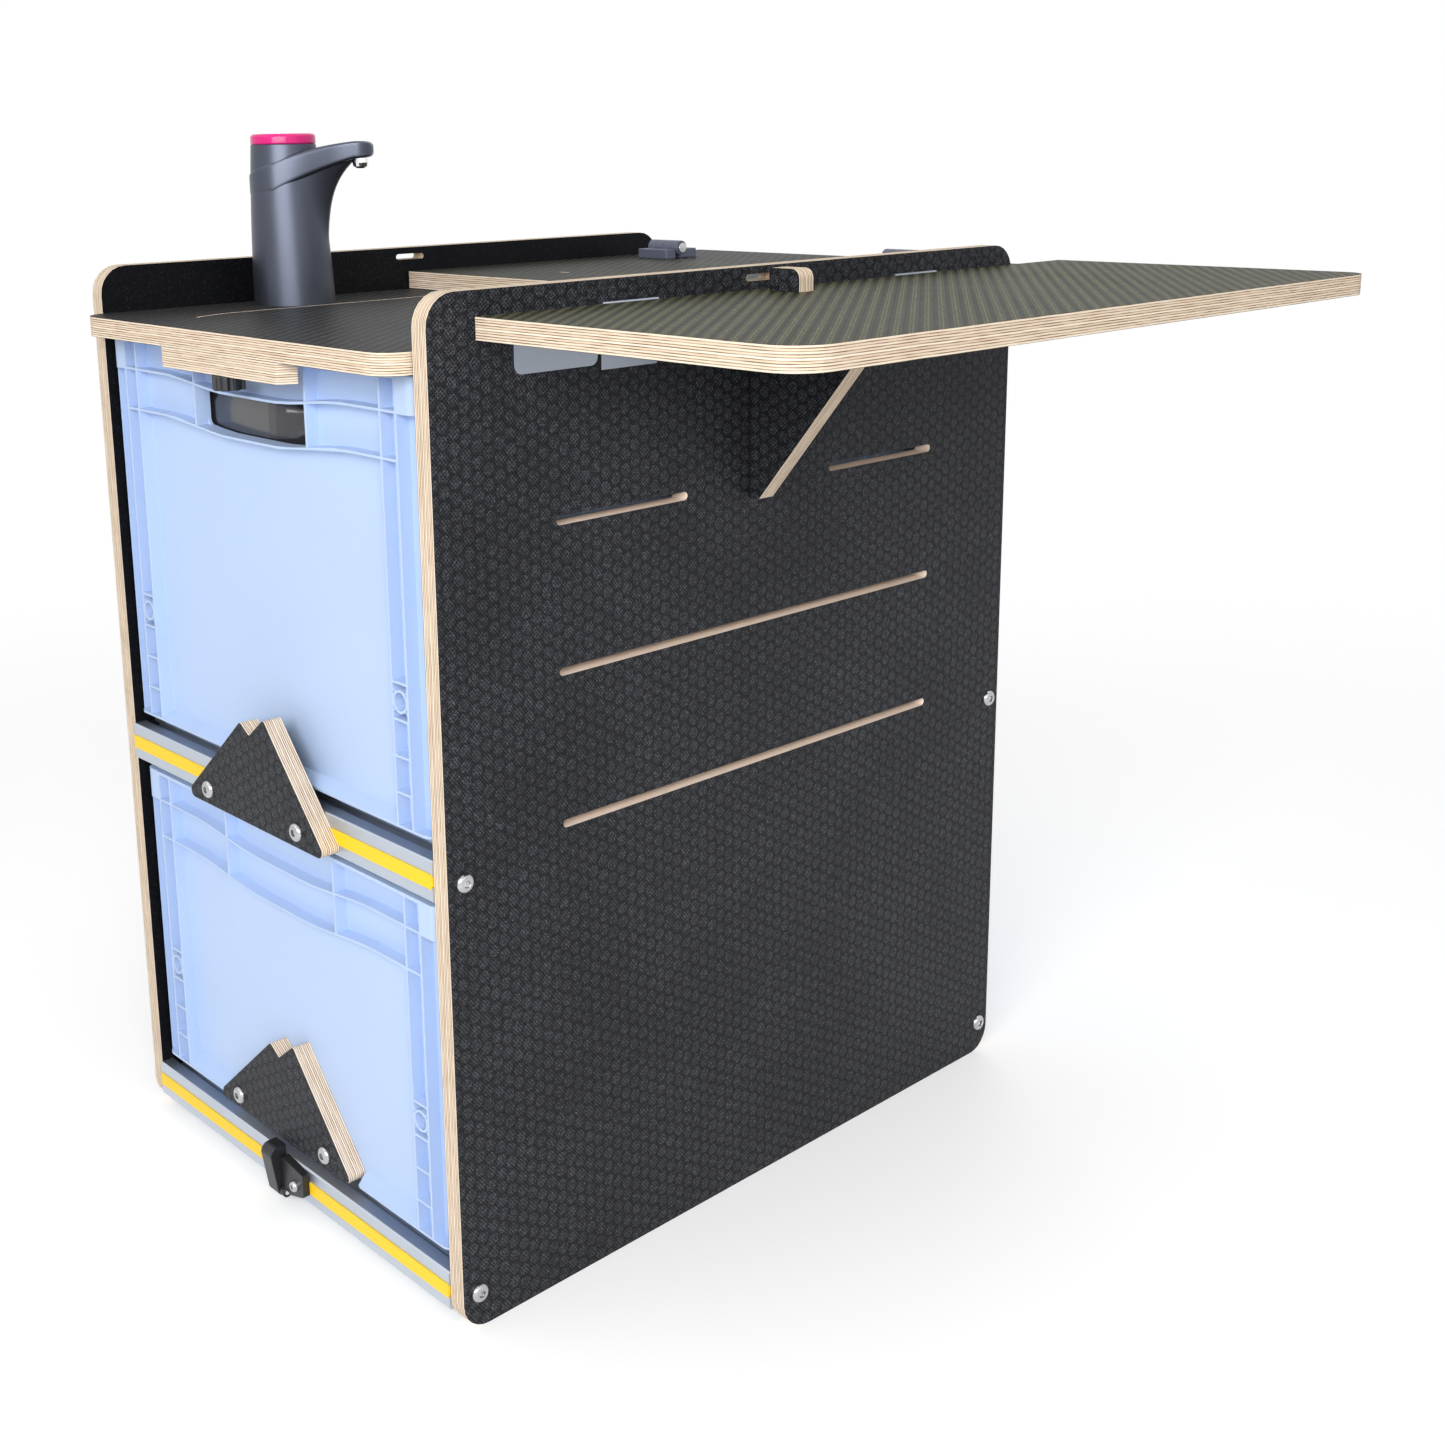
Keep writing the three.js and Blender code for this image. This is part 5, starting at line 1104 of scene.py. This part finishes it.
    def _plate(self) -> Rows:
        """Makes the push plate's profile, which dips with the square of the radius.

        Returns:
            Rows of radius and height.
        """
        _, radius, height = measure("pump_button")
        dish = [(share * radius, height - self.plate_dish * (1.0 - share * share))
                for share in np.linspace(*self.plate_span, 12).tolist()]
        foot, rise = self.plate_foot
        return [(radius * foot, 0.0), (radius, rise), (radius, height - self.plate_bevel), *dish]


@dataclass
class Studio:
    """Camera, floor, lamps and world.

    The camera's place is in the design frame, whose origin is at the front edge of the panels in the
    pod's middle. The lamps' places are in the part's frame.
    """

    eye: Point = (1.1138, -0.6560, 0.8117)
    azimuth: float = math.radians(48.339)
    elevation: float = math.radians(13.106)
    roll: float = math.radians(-1.043)
    lens: float = 44.84
    sensor: float = 36.0
    shift: Pair = (0.0848, -0.1123)
    panel_outer: float = 0.220
    floor_radii: tuple[float, ...] = (0.001, 1.0, 2.5, 6.0)
    floor_sides: int = 96
    floor_fade: Pair = (0.9, 2.2)
    floor_tones: Pair = (0.93, 0.95)
    floor_tone_rate: float = 3.0
    floor_rough: float = 0.9
    floor_gloss: float = 0.1
    floor_lift: float = 0.22
    lamp_aim: Point = (0.0, 0.1, 0.55)
    world_light: float = 0.34

    def offset(self) -> Vector:
        """Returns what the design frame's places are moved by."""
        low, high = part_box("right_panel")
        return Vector((high[0] - self.panel_outer, low[1], 0.0))

    def build(self) -> None:
        """Makes the whole studio."""
        self._camera()
        self._floor()
        self._lamps()
        self._world()
        bpy.context.scene.view_settings.view_transform = "Standard"

    def _camera(self) -> None:
        """Makes the camera at the photograph's place and angle."""
        data = bpy.data.cameras.new("camera")
        data.lens = self.lens
        data.sensor_width = self.sensor
        data.shift_x, data.shift_y = self.shift
        camera = bpy.data.objects.new("camera", data)
        ahead = Vector((-math.sin(self.azimuth) * math.cos(self.elevation),
                        math.cos(self.azimuth) * math.cos(self.elevation), -math.sin(self.elevation)))
        level = ahead.cross(Vector(UP)).normalized()
        above = level.cross(ahead)
        right = math.cos(self.roll) * level + math.sin(self.roll) * above
        up = right.cross(ahead)
        turn = Matrix((right, up, -ahead)).transposed().to_4x4()
        camera.matrix_world = Matrix.Translation(Vector(self.eye) + self.offset()) @ turn
        bpy.context.scene.collection.objects.link(camera)
        bpy.context.scene.camera = camera

    def _floor(self) -> None:
        """Makes a pale round floor that fades into the world far from the pod."""
        rings = np.array([(radius, 0.0) for radius in self.floor_radii])
        graph = Graph(bpy.data.materials.new("floor_paper"))
        place = graph.place()
        distance = graph.node("ShaderNodeVectorMath", operation="LENGTH")
        graph.feed(distance.inputs[0], place)
        fade = graph.span(distance.outputs["Value"], *self.floor_fade)
        tone = graph.noise(place, self.floor_tone_rate)
        greys = [rgba((level, level, level)) for level in self.floor_tones]
        graph.set(base_color=graph.blend(tone, *greys), roughness=self.floor_rough,
                  specular_ior_level=self.floor_gloss, emission_color=rgba(WHITE),
                  emission_strength=graph.calc("MULTIPLY", graph.seen(), self.floor_lift))
        clear = graph.node("ShaderNodeBsdfTransparent")
        mix = graph.node("ShaderNodeMixShader")
        graph.feed(mix.inputs[0], fade)
        graph.feed(mix.inputs[1], graph.shader.outputs[0])
        graph.feed(mix.inputs[2], clear.outputs[0])
        output = next(n for n in graph.tree.nodes if n.type == "OUTPUT_MATERIAL")
        graph.feed(output.inputs[0], mix.outputs[0])
        faces = ring_faces(len(rings), self.floor_sides)[:-1]
        floor = mesh_object("floor", turned(rings, self.floor_sides), faces, graph.owner, False)

    def _lamps(self) -> None:
        """Makes the soft lamps: a key, a broad front one, a side, a top and a back one without glare."""
        self._lamp("key", (-0.9, -1.9, 2.3), (2.0, 2.0), 9.0)
        self._lamp("front", (1.45, -1.95, 1.40), (2.2, 1.1), 63.0)
        self._lamp("side", (2.3, -0.2, 1.5), (1.6, 1.6), 5.0)
        self._lamp("top", (0.2, 0.6, 2.9), (2.4, 2.4), 18.0)
        back = self._lamp("back", (-2.0, 2.3, 1.0), (1.8, 1.2), 20.0)
        back.visible_glossy = False
        back.visible_camera = False

    def _lamp(self, name: str, place: Point, size: Pair, power: float) -> bpy.types.Object:
        """Makes an oblong area lamp that looks at the pod's upper half.

        Args:
            name: the lamp's name.
            place: where it stands.
            size: its two sides.
            power: its power in watts.

        Returns:
            The lamp.
        """
        data = bpy.data.lights.new(name, "AREA")
        data.shape = "RECTANGLE"
        data.size, data.size_y = size
        data.energy = power
        lamp = bpy.data.objects.new(name, data)
        aim = Vector(self.lamp_aim) - Vector(place)
        turn = aim.to_track_quat("-Z", "Y").to_matrix().to_4x4()
        lamp.matrix_world = Matrix.Translation(Vector(place)) @ turn
        bpy.context.scene.collection.objects.link(lamp)
        return lamp

    def _world(self) -> None:
        """Lights the scene with a soft grey that cameras, gloss and glass see as white."""
        world = bpy.data.worlds.new("studio")
        bpy.context.scene.world = world
        graph = Graph(world)
        strength = graph.node("ShaderNodeMapRange")
        for key, value in (("Value", graph.seen()), ("To Min", self.world_light), ("To Max", 1.0)):
            graph.feed(strength.inputs[key], value)
        graph.set(color=rgba(WHITE), strength=strength.outputs[0])


def main() -> None:
    """Builds the studio and dresses the pod, sub-assembly by sub-assembly."""
    logging.basicConfig(level=logging.INFO, format="%(name)s: %(message)s")
    for part in (Studio(), Boards(), Metalwork(), Bolts(), Mouldings(), Pump()):
        LOG.info("building %s", type(part).__name__)
        part.build()


if __name__ == "__main__":
    main()
